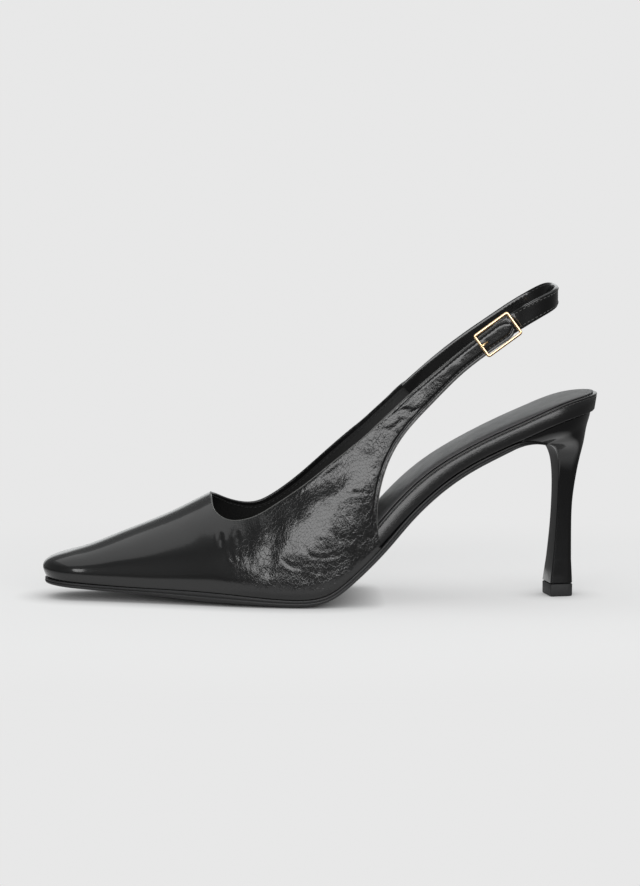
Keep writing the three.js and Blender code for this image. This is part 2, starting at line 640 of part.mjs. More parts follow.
function sockRing(x) {
  const foot = boardThickness(x) + 2.3 * GAP;
  const seat = smoothstep(x, 0.84 * LENGTH, 0.96 * LENGTH);
  const thickness = mix(SOCK_THICKNESS, SOCK_SEAT_THICKNESS, seat);
  const across = [
    [-1, 0],
    [-1, 0.45],
    [-0.93, 0.85],
    [-0.75, 1],
    [-0.4, 1],
    [0, 1],
    [0.4, 1],
    [0.75, 1],
    [0.93, 0.85],
    [1, 0.45],
    [1, 0],
  ];
  return across.map(([share, full]) => {
    const crown = SOCK_CROWN * (1 - seat) * (1 - share * share);
    const above = foot + full * (thickness + crown);
    const outer = overEdge(x, -1, -SOCK_INSET, above);
    const inner = overEdge(x, 1, -SOCK_INSET, above);
    return outer.lerp(inner, (1 + share) / 2);
  });
}

function sockGeometry() {
  const start = SOCK_START_AT * LENGTH;
  const end = LAST_SEAT - SOCK_INSET;
  return loft(steps(SOCK_STEPS).map((s) => sockRing(mix(start, end, mix(s, crowded(s), 0.85)))));
}

// Heel and its tip

const HEEL_STEPS = 26;
const CORNER_FACES = 4;

// A closed outline with small front corners and a rounder back, in shares: along 0 is the front, 1 the back.
function heelOutline(round) {
  const points = [];
  const corner = (along, across, sizeAlong, sizeAcross, from) => {
    for (const s of steps(CORNER_FACES)) {
      const angle = from + (s * Math.PI) / 2;
      points.push([along + sizeAlong * Math.cos(angle), across + sizeAcross * Math.sin(angle)]);
    }
  };
  const front = 0.1;
  const side = mix(0.25, 1, smoothstep(round, 0.28, 0.6));
  corner(1 - round, 1 - side, round, side, 0);
  corner(front, 1 - front, front, front, Math.PI / 2);
  corner(front, front - 1, front, front, Math.PI);
  corner(1 - round, side - 1, round, side, 1.5 * Math.PI);
  return points;
}

const HEEL_COLUMNS = {
  front: LENGTH,
  frontHeight: HEEL_HEIGHT,
  back: LENGTH,
  backHeight: HEEL_HEIGHT,
  width: BALL_WIDTH,
  round: 1,
  turn: THREE.MathUtils.degToRad(HEEL_TWIST),
};
const heelCurves = Object.entries(HEEL_COLUMNS).map(([key, unit]) => [key, byRow(HEEL, key, unit)]);

// The middle of the tip, about which the heel's axis turns.
const heelFoot = new THREE.Vector3(HEEL_FOOT_AT * LENGTH, HEEL_FOOT_SIDE * BALL_WIDTH, 0);
const upright = new THREE.Vector3(0, 0, 1);

// A point so far behind the foot's middle and so far to its inner side, turned about it.
function heelPoint(behind, aside, z, turn) {
  return new THREE.Vector3(behind, aside, 0).applyAxisAngle(upright, turn).add(heelFoot).setZ(z);
}

function heelRing(row) {
  const at = Object.fromEntries(heelCurves.map(([key, curve]) => [key, curve(row)]));
  return heelOutline(at.round).map(([along, across]) => {
    const behind = mix(at.front, at.back, along) - heelFoot.x;
    const p = heelPoint(behind, (across * at.width) / 2, mix(at.frontHeight, at.backHeight, along), at.turn);
    return p.setY(clamp(p.y, outline(p.x, -1, -HEEL_INSET), outline(p.x, 1, -HEEL_INSET)));
  });
}

function tipRing(z, grow) {
  const length = HEEL_TIP_LENGTH + 2 * grow;
  const width = HEEL_TIP_WIDTH + 2 * grow;
  const turn = HEEL_COLUMNS.turn;
  return heelOutline(0.26).map(([along, across]) =>
    heelPoint((along - 0.5) * length, (across * width) / 2, z, turn));
}

function heelGeometry() {
  const rows = steps(HEEL_STEPS).map((s) => s * (HEEL.length - 1));
  const rings = rows.map(heelRing);
  rings.push(tipRing(HEEL_TIP_HEIGHT + GAP, -0.15));
  const column = solidOf(loft(rings.reverse()));
  // The seat is cut to the board's underside, and the lip under the waist to the outsole's.
  return geometryFrom(column.subtract(boardCutter()).subtract(soleCutter()));
}

// Everything above the board's underside, over the heel.
function boardCutter() {
  const high = HEEL_HEIGHT / 2;
  const wide = BALL_WIDTH;
  const rings = steps(24).map((s) => {
    const x = mix(0.8 * LENGTH, LENGTH, s);
    const z = edgeHeight(x);
    return [
      new THREE.Vector3(x, -wide, z),
      new THREE.Vector3(x, wide, z),
      new THREE.Vector3(x, wide, z + high),
      new THREE.Vector3(x, -wide, z + high),
    ];
  });
  return solidOf(loft(rings));
}

// Everything from the outsole's top with its clearance downwards, in front of the heel's breast.
function soleCutter() {
  const low = 1.5 * SOLE_DIP;
  const wide = BALL_WIDTH / 2;
  const rings = steps(16).map((s) => {
    const x = mix(0.8 * LENGTH, SOLE_END_AT * LENGTH + GAP, s);
    const z = soleTop(x) + GAP;
    return [
      new THREE.Vector3(x, -wide, z - low),
      new THREE.Vector3(x, wide, z - low),
      new THREE.Vector3(x, wide, z),
      new THREE.Vector3(x, -wide, z),
    ];
  });
  return solidOf(loft(rings));
}

function heelTipGeometry() {
  const top = HEEL_TIP_HEIGHT;
  return loft([tipRing(0, -0.5), tipRing(0.5, 0), tipRing(top - 0.4, 0), tipRing(top, -0.3)]);
}

// Sling strap

const SLING_STEPS = 72;

// The outward normal of a side's wall at a height.
function wallNormal(x, z, side) {
  const at = (dx, dz) => sideSection(x + dx, side)(shareAtHeight(x + dx, z + dz, side));
  const along = at(1, 0).sub(at(-1, 0));
  const up = at(0, 1).sub(at(0, -1));
  return new THREE.Vector3().crossVectors(along, up).normalize().multiplyScalar(-side);
}

// A place on the strap's middle line, taken from a row of its table, and how far its face leans up there.
function slingPlace(row) {
  const x = row.at * LENGTH;
  const z = row.height * SLING_HEIGHT;
  if (row.side !== undefined) return { x, y: row.side * BALL_WIDTH, z, lean: 0 };
  const wall = sideSection(x, row.of)(shareAtHeight(x, z, row.of));
  const normal = wallNormal(x, z, row.of);
  wall.addScaledVector(normal, row.layer * (UPPER_WALL + 1.7 * GAP + STRAP_THICKNESS / 2));
  return { x: wall.x, y: wall.y, z: wall.z, lean: normal.z };
}

const slingPlaces = SLING.map(slingPlace);
const slingCurve = (key) => smooth(slingPlaces.map((_, i) => i), slingPlaces.map((p) => p[key]));
const [slingX, slingY, slingZ, slingLean] = ["x", "y", "z", "lean"].map(slingCurve);
const slingMiddle = (row) => new THREE.Vector3(slingX(row), slingY(row), slingZ(row));

// Stations crowd towards the strap's round tip.
const TIP_SHARE = 0.1;
const towardTip = (s) => (s < TIP_SHARE ? s * mix(TIP_SHARE, 1, s / TIP_SHARE) : s);

// The strap's directions at a row: along it, across its width and outwards.
function slingFrame(row) {
  const step = 0.02;
  const ahead = slingMiddle(Math.min(row + step, SLING.length - 1));
  const along = ahead.sub(slingMiddle(Math.max(row - step, 0))).normalize();
  const outward = new THREE.Vector3(along.y, -along.x, 0).normalize();
  outward.z = slingLean(row);
  const across = new THREE.Vector3().crossVectors(outward, along).normalize();
  outward.crossVectors(along, across);
  return { along, across, outward };
}

// Half the strap's width at a distance from its round tip.
const roundedHalf = (distance) => (STRAP_WIDTH / 2) * closing(distance, STRAP_WIDTH * 0.55, 2);

function slingGeometry() {
  const rings = [];
  let travelled = 0;
  let previous = slingMiddle(0);
  for (const s of steps(SLING_STEPS)) {
    const row = (SLING.length - 1) * towardTip(s);
    const p = slingMiddle(row);
    travelled += p.distanceTo(previous);
    previous = p;
    const { across, outward } = slingFrame(row);
    const half = Math.max(roundedHalf(travelled + 0.15), 0.4);
    const thick = STRAP_THICKNESS / 2;
    const edge = Math.min(0.45, half / 2);
    const profile = [
      [-half + edge, -thick],
      [half - edge, -thick],
      [half, -thick + edge],
      [half, thick - edge],
      [half - edge, thick],
      [-half + edge, thick],
      [-half, thick - edge],
      [-half, -thick + edge],
    ];
    const place = ([wide, out]) => p.clone().addScaledVector(across, wide).addScaledVector(outward, out);
    rings.push(profile.map(place));
  }
  return loft(rings);
}

// Buckle: its frame lies on the outer side's strap, and the prong rests on the frame's front bar

const wallPoint = (x, z, side) => sideSection(x, side)(shareAtHeight(x, z, side));

// The buckle's place on the wall: X runs up along the strap, Y across it and Z outwards.
function bucklePlace() {
  const x = BUCKLE_AT * LENGTH;
  const z = BUCKLE_HEIGHT * SLING_HEIGHT;
  const half = BUCKLE_LENGTH / 2;
  const rise = half * Math.tan(THREE.MathUtils.degToRad(BUCKLE_SLOPE));
  const outward = wallNormal(x, z, -1);
  const along = wallPoint(x + half, z + rise, -1).sub(wallPoint(x - half, z - rise, -1)).normalize();
  const across = new THREE.Vector3().crossVectors(outward, along).normalize();
  along.crossVectors(across, outward);
  return new THREE.Matrix4().makeBasis(along, across, outward).setPosition(wallPoint(x, z, -1));
}

const buckle = new THREE.Group();
buckle.applyMatrix4(bucklePlace());
shoe.add(buckle);

function roundedBox(path, length, width, radius) {
  const x = length / 2 - radius;
  const y = width / 2 - radius;
  path.absarc(x, y, radius, 0, Math.PI / 2);
  path.absarc(-x, y, radius, Math.PI / 2, Math.PI);
  path.absarc(-x, -y, radius, Math.PI, 1.5 * Math.PI);
  path.absarc(x, -y, radius, 1.5 * Math.PI, 2 * Math.PI);
  path.closePath();
  return path;
}

function buckleGeometry() {
  const cut = 2 * BUCKLE_BEVEL;
  const bars = 2 * BUCKLE_BAR - cut;
  const shape = roundedBox(new THREE.Shape(), BUCKLE_LENGTH - cut, BUCKLE_WIDTH - cut, BUCKLE_CORNER);
  const inside = roundedBox(new THREE.Path(), BUCKLE_LENGTH - bars, BUCKLE_WIDTH - bars, BUCKLE_CORNER / 2);
  shape.holes.push(inside);
  return new THREE.ExtrudeGeometry(shape, {
    depth: BUCKLE_DEPTH - cut,
    bevelSize: BUCKLE_BEVEL,
    bevelThickness: BUCKLE_BEVEL,
    bevelSegments: 1,
    curveSegments: 4,
  }).translate(0, 0, GAP + BUCKLE_BEVEL);
}

// The front bar's inner face, and the middle of the hole that the prong enters, along the strap.
const FRONT_BAR = BUCKLE_BAR - BUCKLE_LENGTH / 2;
const PRONG_HOLE = FRONT_BAR + PRONG_REACH - PRONG_THICKNESS / 2;

// The prong's side view: flat on the bar, sloping down behind it, and square through the strap.
function prongGeometry() {
  const rest = 2 * GAP + BUCKLE_DEPTH;
  const tip = FRONT_BAR - BUCKLE_BAR;
  const root = FRONT_BAR + PRONG_REACH;
  const shape = new THREE.Shape();
  shape.moveTo(tip, rest);
  shape.lineTo(FRONT_BAR + GAP, rest);
  shape.lineTo(root - PRONG_THICKNESS, GAP);
  shape.lineTo(root - PRONG_THICKNESS, -UPPER_WALL);
  shape.lineTo(root, -UPPER_WALL);
  shape.lineTo(root, GAP + PRONG_THICKNESS);
  shape.lineTo(FRONT_BAR + GAP, rest + PRONG_THICKNESS);
  shape.lineTo(tip, rest + PRONG_THICKNESS);
  shape.closePath();
  const geometry = new THREE.ExtrudeGeometry(shape, { depth: PRONG_WIDTH, bevelEnabled: false });
  return geometry.translate(0, 0, -PRONG_WIDTH / 2).rotateX(Math.PI / 2);
}

// The strap's row of holes, numbered from the one that the prong enters.
const STRAP_HOLES = [-2, -1, 0, 1];
const STRAP_HOLE = Math.hypot(PRONG_WIDTH, PRONG_THICKNESS) + 2 * GAP;

function holeCutter(number) {
  const centre = new THREE.Vector3(PRONG_HOLE + number * STRAP_HOLE_PITCH, 0, 0).applyMatrix4(buckle.matrix);
  const place = wallPoint(centre.x, centre.z, -1);
  const turn = new THREE.Quaternion().setFromUnitVectors(upright, wallNormal(centre.x, centre.z, -1));
  const cutter = new THREE.CylinderGeometry(STRAP_HOLE / 2, STRAP_HOLE / 2, 4 * UPPER_WALL, 12);
  cutter.rotateX(Math.PI / 2).applyQuaternion(turn).translate(place.x, place.y, place.z);
  return solidOf(cutter);
}

function holedUpperGeometry() {
  const cuts = STRAP_HOLES.map(holeCutter);
  return geometryFrom(cuts.reduce((solid, cut) => solid.subtract(cut), solidOf(upperGeometry())));
}

add(shoe, "upper", holedUpperGeometry(), BLACK_LEATHER);
add(shoe, "outsole", outsoleGeometry(), BLACK_RUBBER);
add(shoe, "covered_insole", boardGeometry(), BLACK_LEATHER);
add(shoe, "sock", sockGeometry(), LINING);
add(shoe, "heel", heelGeometry(), LACQUER);
add(shoe, "heel_tip", heelTipGeometry(), BLACK_RUBBER);
add(shoe, "sling_strap", slingGeometry(), BLACK_LEATHER);
add(buckle, "buckle_frame", buckleGeometry(), GOLD);
add(buckle, "buckle_prong", prongGeometry(), GOLD);

// The shoe is centred over the origin, with its sole on the floor plane.
const part = new THREE.Group();
part.add(shoe);
const reach = new THREE.Box3().setFromObject(shoe, true);
shoe.position.set(-(reach.min.x + reach.max.x) / 2, -(reach.min.y + reach.max.y) / 2, -reach.min.z);

export default part;
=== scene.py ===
import math

import bmesh
import bpy
import numpy as np
from mathutils import Matrix, Vector, noise


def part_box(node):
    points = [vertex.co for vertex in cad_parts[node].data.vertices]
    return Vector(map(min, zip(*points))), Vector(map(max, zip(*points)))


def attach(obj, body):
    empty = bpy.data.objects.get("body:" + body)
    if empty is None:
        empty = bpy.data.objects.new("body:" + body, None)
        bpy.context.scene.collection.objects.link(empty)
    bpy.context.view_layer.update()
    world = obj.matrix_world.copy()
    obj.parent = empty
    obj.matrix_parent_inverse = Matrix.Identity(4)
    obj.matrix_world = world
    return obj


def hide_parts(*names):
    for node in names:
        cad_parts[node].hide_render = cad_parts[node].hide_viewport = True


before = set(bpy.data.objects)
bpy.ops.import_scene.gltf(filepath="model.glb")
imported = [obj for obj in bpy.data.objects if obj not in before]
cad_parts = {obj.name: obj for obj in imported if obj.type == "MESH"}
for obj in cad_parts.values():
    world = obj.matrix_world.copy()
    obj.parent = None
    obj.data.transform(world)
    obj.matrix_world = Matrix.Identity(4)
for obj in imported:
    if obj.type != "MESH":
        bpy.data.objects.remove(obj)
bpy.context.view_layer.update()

# ---------------------------------------------------------------- sizes, as in the frame

LENGTH = 248.0
BALL_WIDTH = 76.0
HEEL_HEIGHT = 83.5
INSTEP = 46.8
SLING_HEIGHT = 139.0
GAP = 0.3
UPPER_WALL = 1.5
TOE_OVERHANG = 0.9
SEAT_OVERHANG = 1.9
TOE_ROUND = 11.0
SEAT_ROUND = 23.0
TOE_SQUARENESS = 2.3
SEAT_SQUARENESS = 2.15
CAP_LENGTH = 16.0
THROAT_AT = 0.2995
SOLE_THICKNESS = 2.7
SOLE_MARGIN = 0.7
SOLE_BEVEL = 1.1
SOLE_GROOVE = 0.45
SOLE_CAMBER = 1.4
SOLE_DIP = 7.8
SOLE_TAIL_AT = 0.835
SOLE_END_AT = 0.905
SOLE_TAIL_NARROWING = 0.5
SOLE_CENTRE = 0.55
QUARTER_AT = 0.6
WAIST_THICKNESS = 7.6
SOCK_THICKNESS = 1.2
SOCK_SEAT_THICKNESS = 0.5
SOCK_INSET = 1.6
SOCK_CROWN = 0.8
SOCK_START_AT = 0.09
HEEL_TIP_LENGTH = 10.5
HEEL_TIP_WIDTH = 14.0
HEEL_TIP_HEIGHT = 5.6
HEEL_FOOT_AT = 0.9285
HEEL_FOOT_SIDE = -0.002
HEEL_TWIST = math.radians(11)
HEEL_INSET = 0.4
STRAP_WIDTH = 8.4
STRAP_THICKNESS = 1.7
STRAP_HOLE_PITCH = 6.9
TIP_ROUND = 4.5
TIP_BLUNT = 1.0
BUCKLE_LENGTH = 19
BUCKLE_WIDTH = 12.2
BUCKLE_BAR = 1.3
BUCKLE_DEPTH = 1.3
BUCKLE_CORNER = 0.9
BUCKLE_AT = 0.81
BUCKLE_HEIGHT = 0.861
BUCKLE_SLOPE = math.radians(36)
PRONG_WIDTH = 1.2
PRONG_THICKNESS = 0.8
PRONG_REACH = 3.2

LAST_COLUMNS = ("at", "outer", "inner", "edge", "sole", "camber", "board", "lean")
LAST = [
    (0.0, -0.1096, 0.1632, 0.109, 0.9, 0, 0.34, 0),
    (0.06, -0.1486, 0.207, 0.0945, 0.9, 0.1, 0.36, 0),
    (0.12, -0.2021, 0.2654, 0.0855, 0.95, 0.3, 0.38, 0),
    (0.2, -0.2819, 0.3433, 0.0795, 1.12, 0.5, 0.38, 0),
    (0.28, -0.3647, 0.4163, 0.0735, 1.5, 0.7, 0.38, 0),
    (0.36, -0.4455, 0.465, 0.0587, 1.3, 0.95, 0.4, 0),
    (0.43, -0.4913, 0.4708, 0.0443, 1.1, 1, 0.44, 0),
    (0.475, -0.5039, 0.4523, 0.0467, 1.06, 1, 0.54, -0.08),
    (0.51, -0.4922, 0.4182, 0.0743, 1, 0.9, 0.68, -0.32),
    (0.55, -0.4746, 0.3792, 0.1629, 1, 0.6, 0.86, -0.56),
    (0.6, -0.4313, 0.3233, 0.303, 1, 0.25, 0.97, -0.68),
    (0.65, -0.3924, 0.2843, 0.4647, 1, 0.1, 1, -0.69),
    (0.7, -0.3603, 0.2629, 0.6024, 1, 0, 1, -0.61),
    (0.76, -0.3408, 0.258, 0.7265, 1, 0, 0.92, -0.5),
    (0.82, -0.3369, 0.2726, 0.8165, 0.9, 0, 0.93, -0.42),
    (0.88, -0.3369, 0.295, 0.8975, 0.62, 0, 0.93, -0.33),
    (0.94, -0.3291, 0.3135, 0.9689, 0.3, 0, 0.98, -0.15),
    (1.0, -0.3164, 0.3213, 1.003, 0.3, 0, 1.04, 0.22),
]
SECTION_COLUMNS = ("at", "ridge", "bulge", "shoulder", "crown")
SECTIONS = [
    (0.0, 0.418, 0.066, 0.63, 0.84),
    (0.0645, 0.474, 0.05, 0.6, 0.72),
    (0.103, 0.543, 0.046, 0.57, 0.68),
    (0.139, 0.62, 0.044, 0.55, 0.65),
    (0.175, 0.695, 0.043, 0.53, 0.62),
    (0.211, 0.772, 0.044, 0.52, 0.6),
    (0.247, 0.858, 0.046, 0.51, 0.59),
    (0.275, 0.933, 0.048, 0.5, 0.58),
    (0.303, 1.006, 0.05, 0.5, 0.58),
    (0.33, 1.066, 0.052, 0.48, 0.58),
    (0.37, 1.196, 0.054, 0.46, 0.58),
    (0.42, 1.456, 0.055, 0.44, 0.58),
    (0.48, 1.886, 0.054, 0.42, 0.57),
    (0.55, 2.506, 0.05, 0.4, 0.56),
    (0.63, 3.306, 0.04, 0.4, 0.56),
    (0.72, 4.156, 0.03, 0.4, 0.56),
    (0.86, 5.206, 0.02, 0.4, 0.56),
]
TOPLINE_COLUMNS = ("at", "outer", "inner")
TOPLINE = [
    (THROAT_AT, 0.3355, 0.3355),
    (0.3025, 0.3066, 0.3285),
    (0.3125, 0.2842, 0.317),
    (0.337, 0.2691, 0.2935),
    (0.375, 0.2835, 0.2795),
    (0.4133, 0.3237, 0.3045),
    (0.4609, 0.3827, 0.367),
    (0.5081, 0.4496, 0.4435),
    (0.5524, 0.5122, 0.5135),
    (0.5786, 0.5511, 0.5525),
    (0.6028, 0.5914, 0.593),
    (0.627, 0.6309, 0.634),
    (0.6532, 0.6734, 0.677),
    (0.6835, 0.7194, 0.708),
    (0.7177, 0.7698, 0.76),
    (0.752, 0.8187, 0.81),
    (0.7903, 0.8705, 0.86),
    (0.8225, 0.9137, 0.9),
]
CORNER_ROW = 8
BACK_COLUMNS = ("at", "height")
BACK_EDGE = [
    (QUARTER_AT, 0.175),
    (0.594, 0.269),
    (0.599, 0.3705),
    (0.6166, 0.4698),
    (0.6482, 0.5603),
    (0.6948, 0.6483),
    (0.7379, 0.7241),
    (0.775, 0.7785),
    (0.8125, 0.826),
    (0.8448, 0.8635),
]
STRAP_ENDS = {-1: (9, 9), 1: (5.3, 4.8)}
HEEL_COLUMNS = ("front", "front_height", "back", "back_height", "width", "round", "turn")
HEEL = [
    (0.845, 0.93, 0.99, 1.08, 0.643, 0.62, 0),
    (0.852, 0.84, 0.985, 0.985, 0.628, 0.62, 0),
    (0.885, 0.832, 0.979, 0.925, 0.51, 0.55, 0),
    (0.903, 0.828, 0.9735, 0.868, 0.419, 0.48, 0.25),
    (0.9125, 0.8, 0.967, 0.8, 0.292, 0.42, 0.7),
    (0.9195, 0.745, 0.9603, 0.72, 0.206, 0.36, 0.95),
    (0.922, 0.645, 0.9547, 0.62, 0.158, 0.32, 1),
    (0.921, 0.51, 0.95, 0.5, 0.142, 0.3, 1),
    (0.918, 0.36, 0.9485, 0.36, 0.146, 0.28, 1),
    (0.913, 0.2, 0.948, 0.2, 0.164, 0.26, 1),
]
# at, height, then the side it stands free at, or (layer, side of the wall it lies on)
SLING = [
    (0.802, 0.8525, (-1, -1)),
    (0.821, 0.877, (-1, -1)),
    (0.842, 0.901, (-0.95, -1)),
    (0.866, 0.9265, -0.325),
    (0.8945, 0.9535, -0.301),
    (0.9125, 0.9675, -0.232),
    (0.9195, 0.9735, -0.12),
    (0.9215, 0.9755, -0.01),
    (0.9195, 0.975, 0.1),
    (0.91, 0.971, 0.2),
    (0.8885, 0.949, 0.257),
    (0.856, 0.9145, 0.272),
    (0.816, 0.8675, 0.266),
    (0.76, 0.7995, 0.248),
    (0.705, 0.725, (-1.03, 1)),
    (0.66, 0.652, (-1.1, 1)),
]

# ---------------------------------------------------------------- curves


def smooth(xs, ys):
    """A natural cubic spline through (xs, ys), held at its end values outside them."""
    xs = np.asarray(xs, float)
    ys = np.asarray(ys, float)
    n = len(xs)
    h = np.diff(xs)
    system = np.eye(n)
    right = np.zeros(n)
    for i in range(1, n - 1):
        system[i, i - 1 : i + 2] = h[i - 1], 2 * (h[i - 1] + h[i]), h[i]
        right[i] = 6 * ((ys[i + 1] - ys[i]) / h[i] - (ys[i] - ys[i - 1]) / h[i - 1])
    second = np.linalg.solve(system, right)

    def curve(x):
        p = np.clip(x, xs[0], xs[-1])
        i = np.clip(np.searchsorted(xs, p, side="right") - 1, 0, n - 2)
        a = (xs[i + 1] - p) / h[i]
        b = 1 - a
        bend = (a**3 - a) * second[i] + (b**3 - b) * second[i + 1]
        return a * ys[i] + b * ys[i + 1] + bend * h[i] ** 2 / 6

    return curve


def column(rows, names, key, unit):
    k = names.index(key)
    return smooth([row[0] * LENGTH for row in rows], [row[k] * unit for row in rows])


def by_row(rows, names, key, unit):
    k = names.index(key)
    return smooth(range(len(rows)), [row[k] * unit for row in rows])


def mix(a, b, share):
    return a + (b - a) * share


def stations(count, crowding):
    """Shares of a length, closer together towards both its ends."""
    s = np.linspace(0, 1, count)
    return mix(s, (1 - np.cos(np.pi * s)) / 2, crowding)


def ramp(x, low, high):
    """0 below low, 1 above high, smooth between."""
    s = np.clip((np.asarray(x, float) - low) / (high - low), 0, 1)
    return s * s * (3 - 2 * s)


def unit(v):
    return v / np.maximum(np.linalg.norm(v, axis=-1, keepdims=True), 1e-12)


outer_line = column(LAST, LAST_COLUMNS, "outer", BALL_WIDTH)
inner_line = column(LAST, LAST_COLUMNS, "inner", BALL_WIDTH)
edge_height = column(LAST, LAST_COLUMNS, "edge", HEEL_HEIGHT)
sole_thickness = column(LAST, LAST_COLUMNS, "sole", SOLE_THICKNESS)
sole_camber = column(LAST, LAST_COLUMNS, "camber", 1)
board_thickness = column(LAST, LAST_COLUMNS, "board", WAIST_THICKNESS)
board_lean = column(LAST, LAST_COLUMNS, "lean", 1)
ridge_height = column(SECTIONS, SECTION_COLUMNS, "ridge", INSTEP)
bulge_at = column(SECTIONS, SECTION_COLUMNS, "bulge", BALL_WIDTH)
shoulder_at = column(SECTIONS, SECTION_COLUMNS, "shoulder", 1)
crown_at = column(SECTIONS, SECTION_COLUMNS, "crown", 1)
topline_at = by_row(TOPLINE, TOPLINE_COLUMNS, "at", LENGTH)
topline_height = {
    -1: by_row(TOPLINE, TOPLINE_COLUMNS, "outer", SLING_HEIGHT),
    1: by_row(TOPLINE, TOPLINE_COLUMNS, "inner", SLING_HEIGHT),
}
back_at = by_row(BACK_EDGE, BACK_COLUMNS, "at", LENGTH)
back_height = by_row(BACK_EDGE, BACK_COLUMNS, "height", SLING_HEIGHT)

UPPER_STAND = UPPER_WALL + GAP
LAST_TOE = TOE_OVERHANG + UPPER_STAND
LAST_SEAT = LENGTH - SEAT_OVERHANG


def closing(distance, length, squareness):
    share = np.clip(distance / length, 0, 1)
    return (1 - (1 - share) ** squareness) ** (1 / squareness)


def middle_line(x):
    return (outer_line(x) + inner_line(x)) / 2


def outline(x, side, by):
    """The outline's y at x on one side (-1 outer, 1 inner), grown by so much all round."""
    half = (inner_line(x) - outer_line(x)) / 2 + by
    toe = closing(x - LAST_TOE + by, TOE_ROUND + by, TOE_SQUARENESS)
    seat = closing(LAST_SEAT - x + by, SEAT_ROUND + by, SEAT_SQUARENESS)
    return middle_line(x) + side * half * toe * seat


def section(foot, ridge, bulge, shoulder, crown, slope, t):
    """Points at t on the cubic half sections from the feather points to the ridge points."""
    flat = foot[..., :2] - ridge[..., :2]
    reach = np.linalg.norm(flat, axis=-1)
    toward = flat / np.maximum(reach, 1e-9)[..., None]
    rise = ridge[..., 2] - foot[..., 2]
    out = (reach, reach + bulge, crown * reach, 0 * reach)
    lift = slope * toward[..., 0] * crown * reach
    up = (foot[..., 2], foot[..., 2] + shoulder * rise, ridge[..., 2] + lift, ridge[..., 2])
    s = 1 - t
    weights = (s**3, 3 * s * s * t, 3 * s * t * t, t**3)
    r = sum(w * o for w, o in zip(weights, out))
    z = sum(w * u for w, u in zip(weights, up))
    place = ridge[..., :2] + toward * r[..., None]
    return np.concatenate([place, z[..., None]], axis=-1)


def wall(x, t, side):
    """Points of the upper's outside at x, a share t up their half sections."""
    x, t = np.broadcast_arrays(np.asarray(x, float), np.asarray(t, float))
    foot = np.stack([x, outline(x, side, UPPER_STAND), edge_height(x) + GAP], axis=-1)
    ridge = np.stack([x, middle_line(x), ridge_height(x)], axis=-1)
    return section(foot, ridge, bulge_at(x), shoulder_at(x), crown_at(x), 0.0, t)


def share_at_height(x, height, side):
    x, height = np.broadcast_arrays(np.asarray(x, float), np.asarray(height, float))
    low = np.zeros(x.shape)
    high = np.ones(x.shape)
    for _ in range(40):
        middle = (low + high) / 2
        below = wall(x, middle, side)[..., 2] < height
        low = np.where(below, middle, low)
        high = np.where(below, high, middle)
    return (low + high) / 2


def wall_point(x, z, side):
    return wall(x, share_at_height(x, z, side), side)


def wall_normal(x, z, side):
    along = wall_point(x + 1, z, side) - wall_point(x - 1, z, side)
    up = wall_point(x, z + 1, side) - wall_point(x, z - 1, side)
    return unit(np.cross(along, up)) * -side


def cap_line(angle, t):
    """A half section of the toe cap, fanned out from the front end of the ridge."""
    pole = np.array([CAP_LENGTH, middle_line(CAP_LENGTH), ridge_height(CAP_LENGTH)])
    side = -1 if angle < 0 else 1
    turn = abs(angle)
    near, far = TOE_OVERHANG, CAP_LENGTH
    for _ in range(40):
        x = (near + far) / 2
        across = abs(outline(x, side, UPPER_STAND) - pole[1])
        if math.atan2(across, pole[0] - x) < turn:
            near = x
        else:
            far = x
    x = near if turn == 0 else (near + far) / 2
    y = pole[1] if turn == 0 else outline(x, side, UPPER_STAND)
    foot = np.array([x, y, edge_height(x) + GAP])
    aside = math.sin(turn) ** 2
    slope = (ridge_height(CAP_LENGTH + 2) - ridge_height(CAP_LENGTH - 2)) / 4
    bulge, shoulder, crown = (mix(c(0.0), c(CAP_LENGTH), aside) for c in (bulge_at, shoulder_at, crown_at))
    foot, pole = (np.broadcast_to(place, (len(t), 3)) for place in (foot, pole))
    return section(foot, pole, bulge, shoulder, crown, slope, t)


# ---------------------------------------------------------------- meshes

tip_low, tip_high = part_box("heel_tip")


def heel_outline(round_share, faces):
    points = []

    def corner(along, across, size_along, size_across, start):
        for s in np.linspace(0, 1, faces + 1):
            a = start + s * math.pi / 2
            points.append((along + size_along * math.cos(a), across + size_across * math.sin(a)))

    front = 0.1
    side = mix(0.25, 1, float(ramp(round_share, 0.28, 0.6)))
    corner(1 - round_share, 1 - side, round_share, side, 0)
    corner(front, 1 - front, front, front, math.pi / 2)
    corner(front, front - 1, front, front, math.pi)
    corner(1 - round_share, side - 1, round_share, side, 1.5 * math.pi)
    return np.array(points)


def heel_point(behind, aside, z, turn):
    c, s = math.cos(turn), math.sin(turn)
    x = HEEL_FOOT_AT * LENGTH + behind * c - aside * s
    y = HEEL_FOOT_SIDE * BALL_WIDTH + behind * s + aside * c
    return np.stack([x, y, z + 0 * x], axis=-1)


def tip_ring(z, grow, faces=4):
    ring = heel_outline(0.26, faces)
    length = HEEL_TIP_LENGTH + 2 * grow
    width = HEEL_TIP_WIDTH + 2 * grow
    return heel_point((ring[:, 0] - 0.5) * length, ring[:, 1] * width / 2, z, HEEL_TWIST)


tip_here = np.concatenate([tip_ring(0, -0.5), tip_ring(0.5, 0)])
SHIFT = 500 * (np.array(tip_low) + np.array(tip_high)) - (tip_here.min(0) + tip_here.max(0)) / 2
SHIFT[2] = 0.0


def in_frame(points):
    return (np.asarray(points, float) + SHIFT) / 1000


